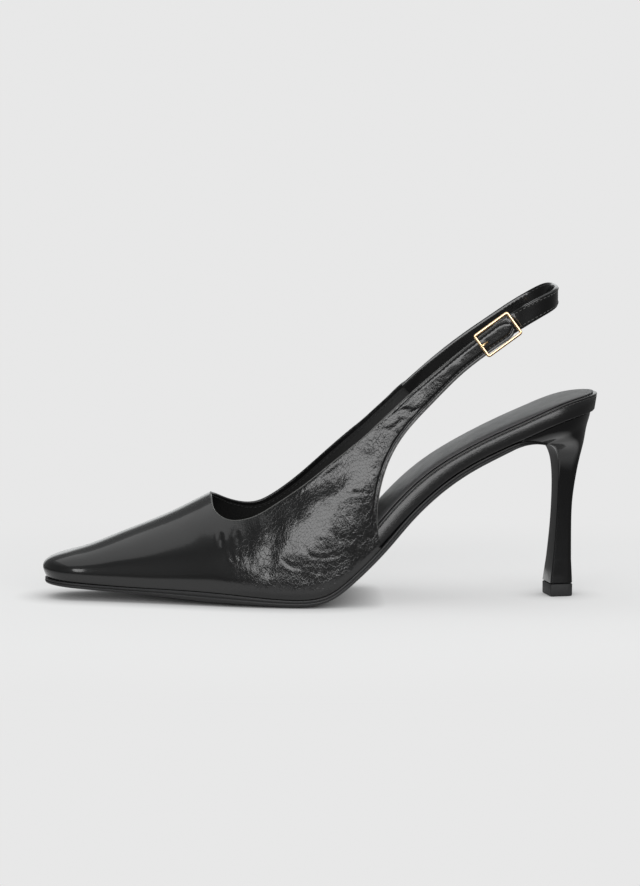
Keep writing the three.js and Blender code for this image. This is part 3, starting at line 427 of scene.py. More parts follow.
def mesh_object(name, points, faces, slot, material, sharp=40.0, merge=1e-4):
    """A piece from points in millimetres. Points closer than merge become one."""
    mesh = bpy.data.meshes.new(name)
    mesh.from_pydata(in_frame(points).tolist(), [], [list(map(int, f)) for f in faces])
    bm = bmesh.new()
    bm.from_mesh(mesh)
    if merge:
        bmesh.ops.remove_doubles(bm, verts=bm.verts, dist=merge / 1000)
    loose = [v for v in bm.verts if not v.link_faces]
    bmesh.ops.delete(bm, geom=loose, context="VERTS")
    bmesh.ops.recalc_face_normals(bm, faces=bm.faces)
    bm.to_mesh(mesh)
    bm.free()
    mesh.shade_smooth()
    if sharp:
        mesh.set_sharp_from_angle(angle=math.radians(sharp))
    mesh.materials.append(material)
    piece = bpy.data.objects.new(name, mesh)
    bpy.context.scene.collection.objects.link(piece)
    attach(piece, "root")
    return piece


def grid_faces(rows, cols, close=False, start=0):
    faces = []
    last = cols if close else cols - 1
    for i in range(rows - 1):
        for j in range(last):
            k = (j + 1) % cols
            row = start + i * cols
            faces.append((row + j, row + k, row + cols + k, row + cols + j))
    return faces


def loft(rings, caps=(True, True)):
    """Points and faces of a solid through closed rings."""
    rings = [np.asarray(r, float) for r in rings]
    cols = len(rings[0])
    points = np.concatenate(rings)
    faces = grid_faces(len(rings), cols, close=True)
    extra = []
    for ring, base, wanted in ((rings[0], 0, caps[0]), (rings[-1], (len(rings) - 1) * cols, caps[1])):
        if wanted:
            centre = len(points) + len(extra)
            extra.append(ring.mean(0))
            faces += [(base + j, base + (j + 1) % cols, centre) for j in range(cols)]
    if extra:
        points = np.concatenate([points, extra])
    return points, faces


def tube(path, radius, sides=8, squash=1.0, normals=None):
    """Rings of a round or flattened bar along a path."""
    path = np.asarray(path, float)
    tangent = unit(np.gradient(path, axis=0))
    if normals is None:
        normals = np.cross(tangent, [0.0, 0, 1])
        steep = np.linalg.norm(normals, axis=1)[:, None] < 0.2
        normals = unit(np.where(steep, np.cross(tangent, [1.0, 0, 0]), normals))
    normals = unit(normals - tangent * np.sum(normals * tangent, axis=1)[:, None])
    across = np.cross(tangent, normals)
    angle = np.linspace(0, 2 * math.pi, sides, endpoint=False)[:, None]
    rings = []
    for p, r, a, n in zip(path, np.broadcast_to(radius, len(path)), across, normals):
        rings.append(p + r * (np.cos(angle) * a + squash * np.sin(angle) * n))
    return rings


def along(path):
    """Distance travelled at each point of a path."""
    path = np.asarray(path, float)
    return np.concatenate([[0], np.cumsum(np.linalg.norm(np.diff(path, axis=0), axis=1))])


def resample(path, distances, *others):
    """Places so far along a path, and what others hold there."""
    travelled = along(path)
    made = []
    for rows in (path, *others):
        made.append(np.stack([np.interp(distances, travelled, rows[:, k]) for k in range(3)], axis=1))
    return made if others else made[0]


def nearest(points, path, chunk=4000):
    """Each point's distance to a polyline, and how far along it that is."""
    path = np.asarray(path, float)
    a, d = path[:-1], np.diff(path, axis=0)
    size = np.maximum((d * d).sum(1), 1e-12)
    travelled = along(path)
    lengths = np.diff(travelled)
    distance = np.empty(len(points))
    place = np.empty(len(points))
    for i in range(0, len(points), chunk):
        p = points[i : i + chunk, None, :]
        s = np.clip(((p - a) * d).sum(2) / size, 0, 1)
        gap = np.linalg.norm(p - (a + s[..., None] * d), axis=2)
        k = gap.argmin(1)
        row = np.arange(len(k))
        distance[i : i + chunk] = gap[row, k]
        place[i : i + chunk] = travelled[k] + s[row, k] * lengths[k]
    return distance, place


# ---------------------------------------------------------------- materials


def add_node(tree, kind, inputs=(), **options):
    """A shader node. Its inputs are values or other nodes' outputs."""
    made = tree.nodes.new(kind)
    for key, value in options.items():
        setattr(made, key, value)
    for key, value in dict(inputs).items():
        if isinstance(value, bpy.types.NodeSocket):
            tree.links.new(value, made.inputs[key])
        else:
            made.inputs[key].default_value = value
    return made


class Paint:
    """A material with short calls for its nodes."""

    def __init__(self, name, color, roughness, metal=0.0, coat=0.0, coat_roughness=0.05, specular=0.5):
        self.made = bpy.data.materials.new(name)
        self.made.use_nodes = True
        self.tree = self.made.node_tree
        self.shader = self.tree.nodes["Principled BSDF"]
        self.set("Base Color", (*color, 1))
        self.set("Roughness", roughness)
        self.set("Metallic", metal)
        self.set("Coat Weight", coat)
        self.set("Coat Roughness", coat_roughness)
        self.set("Specular IOR Level", specular)
        self.coords = self.tree.nodes.new("ShaderNodeTexCoord").outputs["Object"]

    def set(self, socket, value):
        self.shader.inputs[socket].default_value = value

    def node(self, kind, inputs=(), **options):
        return add_node(self.tree, kind, inputs, **options)

    def link(self, output, socket):
        self.tree.links.new(output, self.shader.inputs[socket])

    def vary_roughness(self, value, low, high):
        inputs = {"Value": value, "To Min": low, "To Max": high}
        self.link(self.node("ShaderNodeMapRange", inputs).outputs[0], "Roughness")

    def vector(self, operation, a, b):
        inputs = {0: a, "Scale" if operation == "SCALE" else 1: b}
        return self.node("ShaderNodeVectorMath", inputs, operation=operation).outputs[0]

    def math(self, operation, a, b=0.0, clamp=False):
        return self.node("ShaderNodeMath", {0: a, 1: b}, operation=operation, use_clamp=clamp).outputs[0]

    def scaled(self, per_mm, stretch=(1, 1, 1), turn=(0, 0, 0)):
        size = [1000 * per_mm * s for s in stretch]
        inputs = {"Vector": self.coords, "Scale": size, "Rotation": turn}
        return self.node("ShaderNodeMapping", inputs).outputs[0]

    def noise(self, per_mm, detail=3.0, roughness=0.55, distortion=0.0, **place):
        inputs = {"Vector": self.scaled(per_mm, **place), "Scale": 1.0, "Detail": detail}
        inputs |= {"Roughness": roughness, "Distortion": distortion}
        return self.node("ShaderNodeTexNoise", inputs).outputs["Fac"]

    def cracks(self, per_mm, width, wobble=0.6, **place):
        """Thin lines between cells, 1 on a line and 0 off it."""
        vector = self.scaled(per_mm, **place)
        shaken = self.node("ShaderNodeTexNoise", {"Vector": vector, "Scale": 1.3, "Detail": 3.0})
        moved = self.vector("SUBTRACT", shaken.outputs["Color"], (0.5, 0.5, 0.5))
        vector = self.vector("ADD", vector, self.vector("SCALE", moved, wobble))
        inputs = {"Vector": vector, "Scale": 1.0}
        cells = self.node("ShaderNodeTexVoronoi", inputs, feature="DISTANCE_TO_EDGE")
        return self.between(cells.outputs["Distance"], width, 0.0)

    def between(self, value, low, high):
        """0 at low and 1 at high, smooth."""
        inputs = {"Value": value, "From Min": low, "From Max": high}
        return self.node("ShaderNodeMapRange", inputs, interpolation_type="SMOOTHSTEP").outputs[0]

    def axis(self, which):
        return self.node("ShaderNodeSeparateXYZ", {0: self.coords}).outputs["XYZ".index(which)]

    def bump(self, height, distance_mm, strength=1.0, normal=None):
        inputs = {"Height": height, "Distance": distance_mm / 1000, "Strength": strength}
        if normal is not None:
            inputs["Normal"] = normal
        return self.node("ShaderNodeBump", inputs).outputs[0]

    def finish(self, normal, coat_normal=None):
        self.link(normal, "Normal")
        if coat_normal is not None:
            self.link(coat_normal, "Coat Normal")
        return self.made


def crinkled_leather(name, crinkled=None, coat_roughness=0.09):
    """Glossy black leather. It is crinkled over a stretch along the shoe, in metres, and smooth elsewhere."""
    paint = Paint(name, (0.0062, 0.0062, 0.0063), 0.4, coat=1.0, coat_roughness=coat_roughness, specular=0.12)
    patches = paint.between(paint.noise(0.06, detail=2.0), 0.42, 0.6)
    crackle = paint.math("MULTIPLY", paint.cracks(0.5, 0.08, stretch=(1, 1, 0.6), turn=(0, 0.9, 0)), patches)
    fine = paint.cracks(1.0, 0.12, stretch=(1, 1, 0.6), turn=(0, 0.5, 0))
    crackle = paint.math("ADD", paint.math("MULTIPLY", crackle, 0.6), paint.math("MULTIPLY", fine, 0.22))
    place = {"turn": (0, 0.7, 0), "stretch": (1.0, 1, 0.6)}
    ripple = paint.noise(0.13, detail=5.0, roughness=0.52, distortion=0.3, **place)
    if crinkled is None:
        where = 0.0
    else:
        start, full, fades, gone = crinkled
        where = paint.between(paint.axis("X"), start, full)
        where = paint.math("MULTIPLY", where, paint.between(paint.axis("X"), gone, fades))
    crackle = paint.math("MULTIPLY", crackle, where)
    share = paint.math("ADD", paint.math("MULTIPLY", where, 0.92), 0.08)
    ripple = paint.math("MULTIPLY", ripple, share)
    grain = paint.noise(2.6, detail=2.0)
    paint.vary_roughness(patches, 0.34, 0.46)
    normal = paint.bump(ripple, 0.6)
    normal = paint.bump(crackle, -0.08, normal=normal)
    normal = paint.bump(grain, 0.005, normal=normal)
    return paint.finish(normal, normal)


def plain_leather(name, color, roughness, grain_mm=0.02, coat=0.0, coat_roughness=0.2, specular=0.5):
    paint = Paint(name, color, roughness, coat=coat, coat_roughness=coat_roughness, specular=specular)
    pores = paint.cracks(1.6, 0.16)
    soft = paint.noise(0.12, detail=3.0)
    paint.vary_roughness(soft, roughness * 0.85, roughness * 1.2)
    normal = paint.bump(soft, 0.12)
    normal = paint.bump(pores, -grain_mm, normal=normal)
    return paint.finish(normal, normal if coat else None)


def rubber(name, color, roughness, scratch=0.012):
    paint = Paint(name, color, roughness, specular=0.4)
    lines = paint.noise(0.9, detail=4.0, stretch=(0.15, 0.15, 3.0))
    soft = paint.noise(0.15)
    paint.vary_roughness(soft, roughness * 0.85, roughness * 1.15)
    normal = paint.bump(lines, scratch)
    return paint.finish(normal)


def lacquer(name):
    paint = Paint(name, (0.0055, 0.0055, 0.0057), 0.3, coat=1.0, coat_roughness=0.04, specular=0.1)
    wave = paint.noise(0.07, detail=1.5)
    scratch = paint.noise(1.4, detail=3.0, stretch=(1, 1, 0.12))
    normal = paint.bump(wave, 0.25)
    normal = paint.bump(scratch, 0.004, normal=normal)
    return paint.finish(normal, normal)


def gold(name):
    paint = Paint(name, (0.80, 0.57, 0.33), 0.16, metal=1.0)
    soft = paint.noise(0.8, detail=2.0)
    paint.vary_roughness(soft, 0.12, 0.22)
    return paint.finish(paint.bump(soft, 0.01))


def thread(name, color=(0.02, 0.02, 0.021)):
    paint = Paint(name, color, 0.5, specular=0.5)
    twist = paint.noise(4.0, detail=2.0, turn=(0, 0.8, 0), stretch=(1, 1, 3))
    return paint.finish(paint.bump(twist, 0.05))


UPPER_LEATHER = crinkled_leather("upper_leather", crinkled=(-0.05, -0.02, 0.045, 0.06))
STRAP_LEATHER = crinkled_leather("strap_leather", coat_roughness=0.07)
LINING = plain_leather("lining", (0.02, 0.02, 0.0195), 0.5)
COVER_LEATHER = plain_leather(
    "insole_cover", (0.01, 0.01, 0.0102), 0.4, grain_mm=0.01, coat=1.0, coat_roughness=0.24, specular=0.1
)
SOCK_LEATHER = plain_leather("sock_leather", (0.036, 0.036, 0.037), 0.38, grain_mm=0.02)
SOLE_RUBBER = rubber("outsole", (0.016, 0.016, 0.0165), 0.42)
TIP_RUBBER = rubber("heel_tip", (0.014, 0.014, 0.0145), 0.6, scratch=0.03)
HEEL_LACQUER = lacquer("heel_cover")
BUCKLE_GOLD = gold("buckle_metal")
THREAD = thread("thread")
GREY_THREAD = thread("grey_thread", (0.085, 0.085, 0.083))
# a lighter grey for the tubes along the topline and back edges: a painted highlight standing in for the light
# their rounded rims catch
EDGE_HIGHLIGHT = rubber("edge_paint", (0.1, 0.1, 0.097), 0.4)

# ---------------------------------------------------------------- upper

ROWS = 64
CAP_COLUMNS = 22
VAMP_COLUMNS = 56
QUARTER_COLUMNS = 120
STRAP_COLUMNS = 96
LEATHER = 1.15  # thickness of the leather, and the lining behind it makes up the wall

# Soft troughs on the outer wall: places as (mm from the toe, mm up), their width, depth and raised lips.
OUTER_FOLDS = [
    ([(103.6, 45), (101, 30), (99, 15)], 3.2, 0.55, 0.5),
    ([(112, 46.5), (120, 52), (130, 58.5), (142, 65.5)], 4.4, 0.65, 0.35),
    ([(130.8, 50), (139, 50.8), (147.6, 51)], 0.7, 0.16, 0.6),
    ([(117.4, 23.5), (124, 22.6), (133, 24.6)], 0.8, 0.2, 0.7),
    ([(105.6, 21.6), (110, 18.6), (114, 18.2)], 0.8, 0.2, 0.7),
    ([(115.3, 28.2), (116.5, 25), (118.6, 23.2)], 0.6, 0.14, 0.5),
    ([(115.3, 17.3), (120, 16.5), (124, 15.9)], 0.7, 0.16, 0.7),
    ([(78.6, 31), (78.5, 27.5)], 1.0, 0.35, 0.4),
    ([(86, 32), (85.8, 28.6)], 1.0, 0.35, 0.4),
    ([(82.4, 24.5), (84, 20.8)], 0.8, 0.16, 0.6),
    ([(86, 24.6), (87, 21.5)], 0.8, 0.16, 0.6),
    ([(91, 40), (90, 30), (92, 20)], 2.4, 0.2, 0.3),
    ([(153.8, 84), (158, 86.6), (163, 85.6), (166, 88)], 0.8, 0.28, 0.7),
    ([(156, 88.4), (161, 87), (168, 86)], 0.7, 0.2, 0.7),
    ([(150, 78), (154, 79), (158, 82)], 0.9, 0.12, 0.6),
    ([(127, 34), (133, 30), (138, 31)], 1.2, 0.12, 0.5),
]
INNER_FOLDS = [
    ([(104, 42), (106, 30), (105, 18)], 3.4, 0.5, 0.5),
    ([(118, 50), (128, 54), (140, 66)], 3.4, 0.45, 0.4),
    ([(112, 26), (119, 24), (128, 26)], 0.8, 0.2, 0.7),
    ([(85, 28), (86, 22)], 1.0, 0.3, 0.4),
    ([(152, 82), (158, 85), (164, 84)], 0.8, 0.25, 0.7),
]


def fold_heights(points, folds):
    """How far the folds move the wall out, for points on one side."""
    flat = points[:, [0, 2]]
    height = np.zeros(len(points))
    for line, width, depth, lips in folds:
        line = np.array(line, float)
        ends = along(line)
        curve = [smooth(ends, line[:, k]) for k in (0, 1)]
        s = np.linspace(0, ends[-1], 24)
        path = np.stack([curve[0](s), curve[1](s)], axis=1)
        near = (np.abs(flat - path.mean(0)).max(1) < ends[-1] + 4 * width).nonzero()[0]
        distance, place = nearest(flat[near], path)
        thin = np.sin(np.pi * np.clip(place / ends[-1], 0.12, 0.88)) ** 0.6
        trough = np.exp(-((distance / width) ** 2))
        lip = np.exp(-(((distance - 1.9 * width) / width) ** 2))
        height[near] += depth * thin * (lips * 0.5 * lip - trough)
    return height


def crumple(points, per_mm, seed, octaves=3):
    """Smooth random heights between -1 and 1."""
    places = points * per_mm + (seed, 0, 0)
    return np.array([noise.fractal(Vector(p), 0.9, 2.0, octaves) for p in places])


def upper_lines(side, rows):
    """The outside of one side, as lines of points from the toe cap back to the strap's end."""
    v = stations(rows + 1, 0.6)
    throat = THROAT_AT * LENGTH
    corner = float(back_at(0))
    lines = []
    for s in np.linspace(0, 1, CAP_COLUMNS + 1)[:-1]:
        lines.append(cap_line(side * s * math.pi / 2, v))
    for s in np.linspace(0, 1, VAMP_COLUMNS + 1):
        lines.append(wall(mix(CAP_LENGTH, throat, s), v, side))
    for s in np.linspace(0, 1, QUARTER_COLUMNS + 1)[1:]:
        row = CORNER_ROW * s**1.4
        top_x = float(topline_at(row))
        top_t = float(share_at_height(top_x, topline_height[side](row), side))
        low_x = corner if s == 1 else mix(top_x, mix(throat, corner, s**1.2), s**0.5)
        lines.append(wall(mix(low_x, top_x, v), top_t * v, side))
    back_end, top_end = STRAP_ENDS[side]
    end_x = float(back_at(back_end))
    for s in np.linspace(0, 1, STRAP_COLUMNS + 1)[1:]:
        share = 1 - (1 - s) ** 1.5
        low_x = float(back_at(share * back_end))
        low_t = float(share_at_height(low_x, back_height(share * back_end), side))
        high_x = float(topline_at(CORNER_ROW + share * top_end))
        high_t = float(share_at_height(high_x, topline_height[side](CORNER_ROW + share * top_end), side))
        full = float(closing(end_x - low_x + TIP_BLUNT, TIP_ROUND + TIP_BLUNT, 2))
        mid_x, mid_t = (low_x + high_x) / 2, (low_t + high_t) / 2
        ends = [(mix(mid_x, x, full), mix(mid_t, t, full)) for x, t in ((low_x, low_t), (high_x, high_t))]
        lines.append(wall(mix(ends[0][0], ends[1][0], v), mix(ends[0][1], ends[1][1], v), side))
    return np.array(lines)


def face_normals(points, faces):
    """Vertex normals of a surface of four-cornered faces."""
    quad = points[faces]
    normal = np.cross(quad[:, 2] - quad[:, 0], quad[:, 3] - quad[:, 1])
    total = np.zeros_like(points)
    for k in range(4):
        np.add.at(total, faces[:, k], normal)
    return unit(total)


def joined(points, faces):
    """Points on shared places become one."""
    key = np.round(points * 2e3).astype(np.int64)
    _, first, back = np.unique(key, axis=0, return_index=True, return_inverse=True)
    return points[first], back.reshape(-1)[faces]


def shell(points, faces, outward, inward, bead, steps=5):
    """A closed sheet between two offsets of a surface, its edge rounded over by "bead" past the surface."""
    normal = face_normals(points, faces)
    half = {}
    for f in faces.tolist():
        ring = [f[i] for i in range(4) if f[i] != f[(i + 1) % 4]]
        for a, b in zip(ring, ring[1:] + ring[:1]):
            half[(a, b)] = True
    border = {a: b for a, b in half if (b, a) not in half}
    edge = np.zeros_like(points)
    for a, b in border.items():
        d = points[b] - points[a]
        away = unit(np.cross(d, normal[a] + normal[b]))
        edge[a] += away
        edge[b] += away
    edge = unit(edge)
    out = points + normal * np.asarray(outward).reshape(-1, 1)
    inside = points - normal * np.asarray(inward).reshape(-1, 1)
    n = len(points)
    rim = list(border)
    place = {v: i for i, v in enumerate(rim)}
    middle = (out + inside) / 2
    radius = np.linalg.norm(out - inside, axis=1) / 2
    sheets = [out, inside]
    for k in range(1, steps):
        a = math.pi * k / steps
        ring = middle[rim] + (radius[rim] * math.cos(a))[:, None] * normal[rim]
        sheets.append(ring + (np.asarray(bead)[rim] * math.sin(a))[:, None] * edge[rim])
    made = [tuple(f) for f in faces.tolist()]
    made += [(f[0] + n, f[3] + n, f[2] + n, f[1] + n) for f in faces.tolist()]

    def at(v, k):
        if k == 0:
            return v
        if k == steps:
            return v + n
        return 2 * n + (k - 1) * len(rim) + place[v]

    for a, b in border.items():
        made += [(at(b, k), at(a, k), at(a, k + 1), at(b, k + 1)) for k in range(steps)]
    return np.concatenate(sheets), made


def clean(faces):
    """Faces without repeated corners."""
    kept = []
    for f in faces:
        ring = [v for i, v in enumerate(f) if v != f[i - 1]]
        if len(set(ring)) >= 3 and len(set(ring)) == len(ring):
            kept.append(ring)
    return kept


def side_surface(sides, trim=None):
    """Both sides' lines as one joined surface, with so many millimetres taken off the lines' ends."""
    points, faces, start = [], [], 0
    for side, lines in sides.items():
        if trim:
            lines = np.array([trimmed(line, *trim) for line in lines])
        cols = lines.shape[1]
        made = np.array(grid_faces(len(lines), cols, start=start))
        faces.append(made if side > 0 else made[:, ::-1])
        points.append(lines.reshape(-1, 3))
        start += len(lines) * cols
    return joined(np.concatenate(points), np.concatenate(faces))


def trimmed(line, low, high):
    travelled = along(line)
    total = travelled[-1]
    if high + low >= total * 0.8:
        low, high = 0.4 * total * low / (low + high), 0.4 * total * high / (low + high)
    share = travelled / total
    return resample(line, mix(low, total - high, share))


upper_sides = {side: upper_lines(side, ROWS) for side in (-1, 1)}
points, faces = side_surface(upper_sides)
back_paths = {}
top_paths = {}
for side, lines in upper_sides.items():
    first = CAP_COLUMNS + VAMP_COLUMNS
    back_paths[side] = lines[first + QUARTER_COLUMNS :, 0]
    top_paths[side] = lines[first:, -1]
to_back = np.minimum(*(nearest(points, path)[0] for path in back_paths.values()))
to_top = np.minimum(*(nearest(points, path)[0] for path in top_paths.values()))
on_outer = points[:, 1] < middle_line(points[:, 0])
height = np.zeros(len(points))
height[on_outer] = fold_heights(points[on_outer], OUTER_FOLDS)
height[~on_outer] = fold_heights(points[~on_outer], INNER_FOLDS)
rumpled = ramp(points[:, 0], 72, 100) * (0.55 + 0.45 * ramp(points[:, 0], 175, 150))
height += 0.12 * rumpled * crumple(points, (0.09, 0.09, 0.13), 3.0)
height += 0.02 * rumpled * crumple(points, (0.45, 0.45, 0.5), 9.0)
height *= ramp(np.minimum(to_back, to_top), 0.6, 3.0)
height *= ramp(points[:, 2] - edge_height(points[:, 0]), 0.8, 5.0)
height = np.clip(height, -0.75, 0.35)
# the leather is fullest just over the sole's edge round the ball of the foot
over_sole = points[:, 2] - edge_height(points[:, 0])
height += 0.5 * ramp(points[:, 0], 72, 100) * ramp(over_sole, 0.4, 3.4) * ramp(over_sole, 12.5, 3.4)
# a sewn channel inside the quarter's back edge and the strap's two edges
on_strap = ramp(points[:, 0], 150, 160)
height -= 0.38 * np.exp(-(((to_back - 1.5) / 0.5) ** 2))
height -= 0.1 * on_strap * np.exp(-(((to_top - 1.4) / 0.35) ** 2))
feathered = points[:, 2] < edge_height(points[:, 0]) + GAP + 0.02
bead = np.where(feathered, 0.0, 0.32)
solid_points, solid_faces = shell(points, faces, height, LEATHER, bead)
solid = solid_points, clean(solid_faces)
upper = mesh_object("upper_leather", *solid, "upper_leather", UPPER_LEATHER, sharp=50)
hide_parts("upper")

points, faces = side_surface(upper_sides, trim=(0.3, 1.9))
solid_points, solid_faces = shell(points, faces, -LEATHER - 0.02, UPPER_WALL, np.zeros(len(points)), steps=2)
mesh_object("upper_lining", solid_points, clean(solid_faces), "upper_leather", LINING, sharp=50)

# ---------------------------------------------------------------- outsole


def tail_share(x):
    return np.maximum(0, (x / LENGTH - SOLE_TAIL_AT) / (SOLE_END_AT - SOLE_TAIL_AT))


def sole_top(x):
    return edge_height(x) - SOLE_DIP * tail_share(x) ** 2


def sole_stand(x):
    covered = UPPER_STAND + SOLE_MARGIN * (1 - ramp(x, 0.5 * LENGTH, 0.6 * LENGTH))
    return mix(covered, 0, ramp(x, (QUARTER_AT + 0.004) * LENGTH, (QUARTER_AT + 0.06) * LENGTH))


def sole_point(u, share, inset, below):
    side = math.copysign(1, share)
    x = mix(LAST_TOE - UPPER_STAND - SOLE_MARGIN + inset, SOLE_END_AT * LENGTH, u)
    narrow = 1 - SOLE_TAIL_NARROWING * tail_share(x) ** 2
    middle = middle_line(x)
    y = middle + (outline(x, side, sole_stand(x) - inset) - middle) * abs(share) * narrow
    slope = math.atan((sole_top(x + 1) - sole_top(x - 1)) / 2)
    z = sole_top(x) - below * math.cos(slope)
    return (x + below * math.sin(slope), y, max(z, 0.0))


SOLE_SIDE = [
    (0.5, 0.0),
    (0.12, 0.03),
    (0.0, 0.12),
    (0.0, 0.3),
    (0.12, 0.35),
    (SOLE_GROOVE, 0.39),
    (SOLE_GROOVE, 0.44),
    (0.12, 0.48),
    (0.0, 0.53),
    (0.0, 0.68),
    (0.12 * SOLE_BEVEL, 0.78),
    (0.45 * SOLE_BEVEL, 0.92),
    (SOLE_BEVEL, 1.0),
]


def outsole_ring(u):
    x = u * SOLE_END_AT * LENGTH
    thick = float(sole_thickness(x))
    belly = thick + SOLE_CAMBER * float(sole_camber(x))
    outer = [sole_point(u, -1, inset, thick * depth) for inset, depth in SOLE_SIDE]
    inner = [sole_point(u, 1, inset, thick * depth) for inset, depth in SOLE_SIDE]
    spread = [(-0.85, 0.45), (-SOLE_CENTRE, 1), (-0.2, 1), (0.2, 1), (SOLE_CENTRE, 1), (0.85, 0.45)]
    under = [sole_point(u, share, SOLE_BEVEL, mix(thick, belly, full)) for share, full in spread]
    return outer + under + inner[::-1]


rings = [outsole_ring(u) for u in stations(221, 0.85)]
piece = mesh_object("outsole", *loft(rings, (False, True)), "outsole", SOLE_RUBBER, sharp=55)
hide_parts("outsole")

# ---------------------------------------------------------------- covered insole and sock


def over_edge(x, side, out, above):
    lean = float(board_lean(x))
    rise = math.sqrt(1 - lean * lean) * above
    return np.array([x + lean * above, outline(x, side, out), edge_height(x) + rise])


def board_side(at):
    low = 1.3 * GAP
    top = low + float(board_thickness(at))
    return [
        (0.9, low),
        (0.3, low + 0.15),
        (0.0, low + 0.6),
        (0.0, mix(low, top, 0.5)),
        (0.0, top - 1.5),
        (0.1, top - 1.3),
        (0.22, top - 1.15),
        (0.1, top - 1.0),
        (0.0, top - 0.8),
        (0.0, top - 0.5),
        (0.12, top - 0.2),
        (0.45, top - 0.04),
        (0.9, top),
    ]


def board_ring(u):
    profile = board_side(mix(LAST_TOE, LAST_SEAT, u))
    sides = []
    for side in (-1, 1):
        places = [(mix(LAST_TOE + inset, LAST_SEAT - inset, u), inset, above) for inset, above in profile]
        sides.append([over_edge(x, side, -inset, above) for x, inset, above in places])
    return sides[0] + sides[1][::-1]


solid = loft([board_ring(u) for u in stations(221, 0.9)], (False, False))
piece = mesh_object("covered_insole", *solid, "insole_cover", COVER_LEATHER, sharp=60)
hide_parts("covered_insole")

SOCK_ACROSS = [(-1, 0), (-1.0, 0.3), (-0.985, 0.55), (-0.96, 0.75), (-0.92, 0.88), (-0.86, 0.96), (-0.78, 1)]
SOCK_ACROSS += [(share, 1) for share in np.linspace(-0.6, 0.6, 9)]
SOCK_ACROSS += [(-share, full) for share, full in SOCK_ACROSS[6::-1]]


def sock_ring(x):
    foot = float(board_thickness(x)) + 2.3 * GAP
    seat = float(ramp(x, 0.84 * LENGTH, 0.96 * LENGTH))
    thickness = mix(SOCK_THICKNESS, SOCK_SEAT_THICKNESS, seat)
    ring = []
    for share, full in SOCK_ACROSS:
        above = foot + full * (thickness + SOCK_CROWN * (1 - seat) * (1 - share * share))
        outer, inner = (over_edge(x, side, -SOCK_INSET, above) for side in (-1, 1))
        ring.append(mix(outer, inner, (1 + share) / 2))
    return ring


places = mix(SOCK_START_AT * LENGTH, LAST_SEAT - SOCK_INSET, stations(181, 0.85))
solid = loft([sock_ring(x) for x in places], (True, False))
piece = mesh_object("sock", *solid, "sock_leather", SOCK_LEATHER, sharp=60)
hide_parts("sock")

# ---------------------------------------------------------------- heel

heel_units = (LENGTH, HEEL_HEIGHT, LENGTH, HEEL_HEIGHT, BALL_WIDTH, 1, HEEL_TWIST)
heel_curves = [by_row(HEEL, HEEL_COLUMNS, key, unit_size) for key, unit_size in zip(HEEL_COLUMNS, heel_units)]


def heel_ring(row, faces=10):
    front, front_z, back, back_z, width, round_share, turn = (float(c(row)) for c in heel_curves)
    ring = heel_outline(round_share, faces)
    behind = mix(front, back, ring[:, 0]) - HEEL_FOOT_AT * LENGTH
    ring = heel_point(behind, ring[:, 1] * width / 2, mix(front_z, back_z, ring[:, 0]), turn)
    low, high = (outline(ring[:, 0], side, -HEEL_INSET) for side in (-1, 1))
    ring[:, 1] = np.clip(ring[:, 1], low, high)
    return ring


def cutter(xs, low, high, wide):
    """A slab over a stretch of the shoe, between two heights that follow x."""
    rings = []
    for x in xs:
        rings.append([(x, -wide, low(x)), (x, wide, low(x)), (x, wide, high(x)), (x, -wide, high(x))])
    return loft(rings)


def cut_away(piece, points, faces):
    """Cuts a solid out of a piece."""
    mesh = bpy.data.meshes.new("cutter")
    mesh.from_pydata(in_frame(points).tolist(), [], [list(f) for f in faces])
    bm = bmesh.new()
    bm.from_mesh(mesh)
    bmesh.ops.recalc_face_normals(bm, faces=bm.faces)
    bm.to_mesh(mesh)
    bm.free()
    tool = bpy.data.objects.new("cutter", mesh)
    bpy.context.scene.collection.objects.link(tool)
    cut = piece.modifiers.new("cut", "BOOLEAN")
    cut.operation = "DIFFERENCE"
    cut.solver = "EXACT"
    cut.object = tool
    settle(piece)
    bpy.data.objects.remove(tool)


def settle(piece):
    """Applies a piece's modifiers."""
    graph = bpy.context.evaluated_depsgraph_get()
    made = bpy.data.meshes.new_from_object(piece.evaluated_get(graph))
    piece.modifiers.clear()
    piece.data = made


rings = [heel_ring(row) for row in np.linspace(0, len(HEEL) - 1, 110)]
rings.append(tip_ring(HEEL_TIP_HEIGHT + GAP + 0.25, 0.0, 10))
rings.append(tip_ring(HEEL_TIP_HEIGHT + GAP, -0.25, 10))
heel = mesh_object("heel", *loft(rings[::-1]), "heel_cover", HEEL_LACQUER, sharp=None)
over_board = np.linspace(0.8 * LENGTH, LENGTH + 6, 60)
cut_away(heel, *cutter(over_board, edge_height, lambda x: edge_height(x) + 60, BALL_WIDTH))
under_sole = np.linspace(0.8 * LENGTH, SOLE_END_AT * LENGTH + GAP, 40)
sole_roof = lambda x: sole_top(x) + GAP
cut_away(heel, *cutter(under_sole, lambda x: sole_roof(x) - 12, sole_roof, BALL_WIDTH / 2))
heel.data.shade_smooth()
heel.data.set_sharp_from_angle(angle=math.radians(38))
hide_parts("heel")

rings = [tip_ring(z, grow, 10) for z, grow in ((0, -0.5), (0.15, -0.2), (0.5, 0))]
rings += [tip_ring(HEEL_TIP_HEIGHT - z, grow, 10) for z, grow in ((0.4, 0), (0.1, -0.12), (0, -0.35))]
piece = mesh_object("heel_tip_dressed", *loft(rings), "heel_tip", TIP_RUBBER, sharp=40)
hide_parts("heel_tip")

# ---------------------------------------------------------------- sling strap


def sling_place(at, height, place):
    x, z = at * LENGTH, height * SLING_HEIGHT
    if not isinstance(place, tuple):
        return [x, place * BALL_WIDTH, z, 0.0]
    layer, side = place
    normal = wall_normal(x, z, side)
    point = wall_point(x, z, side) + normal * layer * (UPPER_WALL + 1.7 * GAP + STRAP_THICKNESS / 2)
    return [*point, normal[2]]


sling_rows = np.array([sling_place(*row) for row in SLING])
sling_curves = [smooth(range(len(SLING)), sling_rows[:, k]) for k in range(4)]


def sling_line(rows):
    return np.stack([c(rows) for c in sling_curves[:3]], axis=-1)


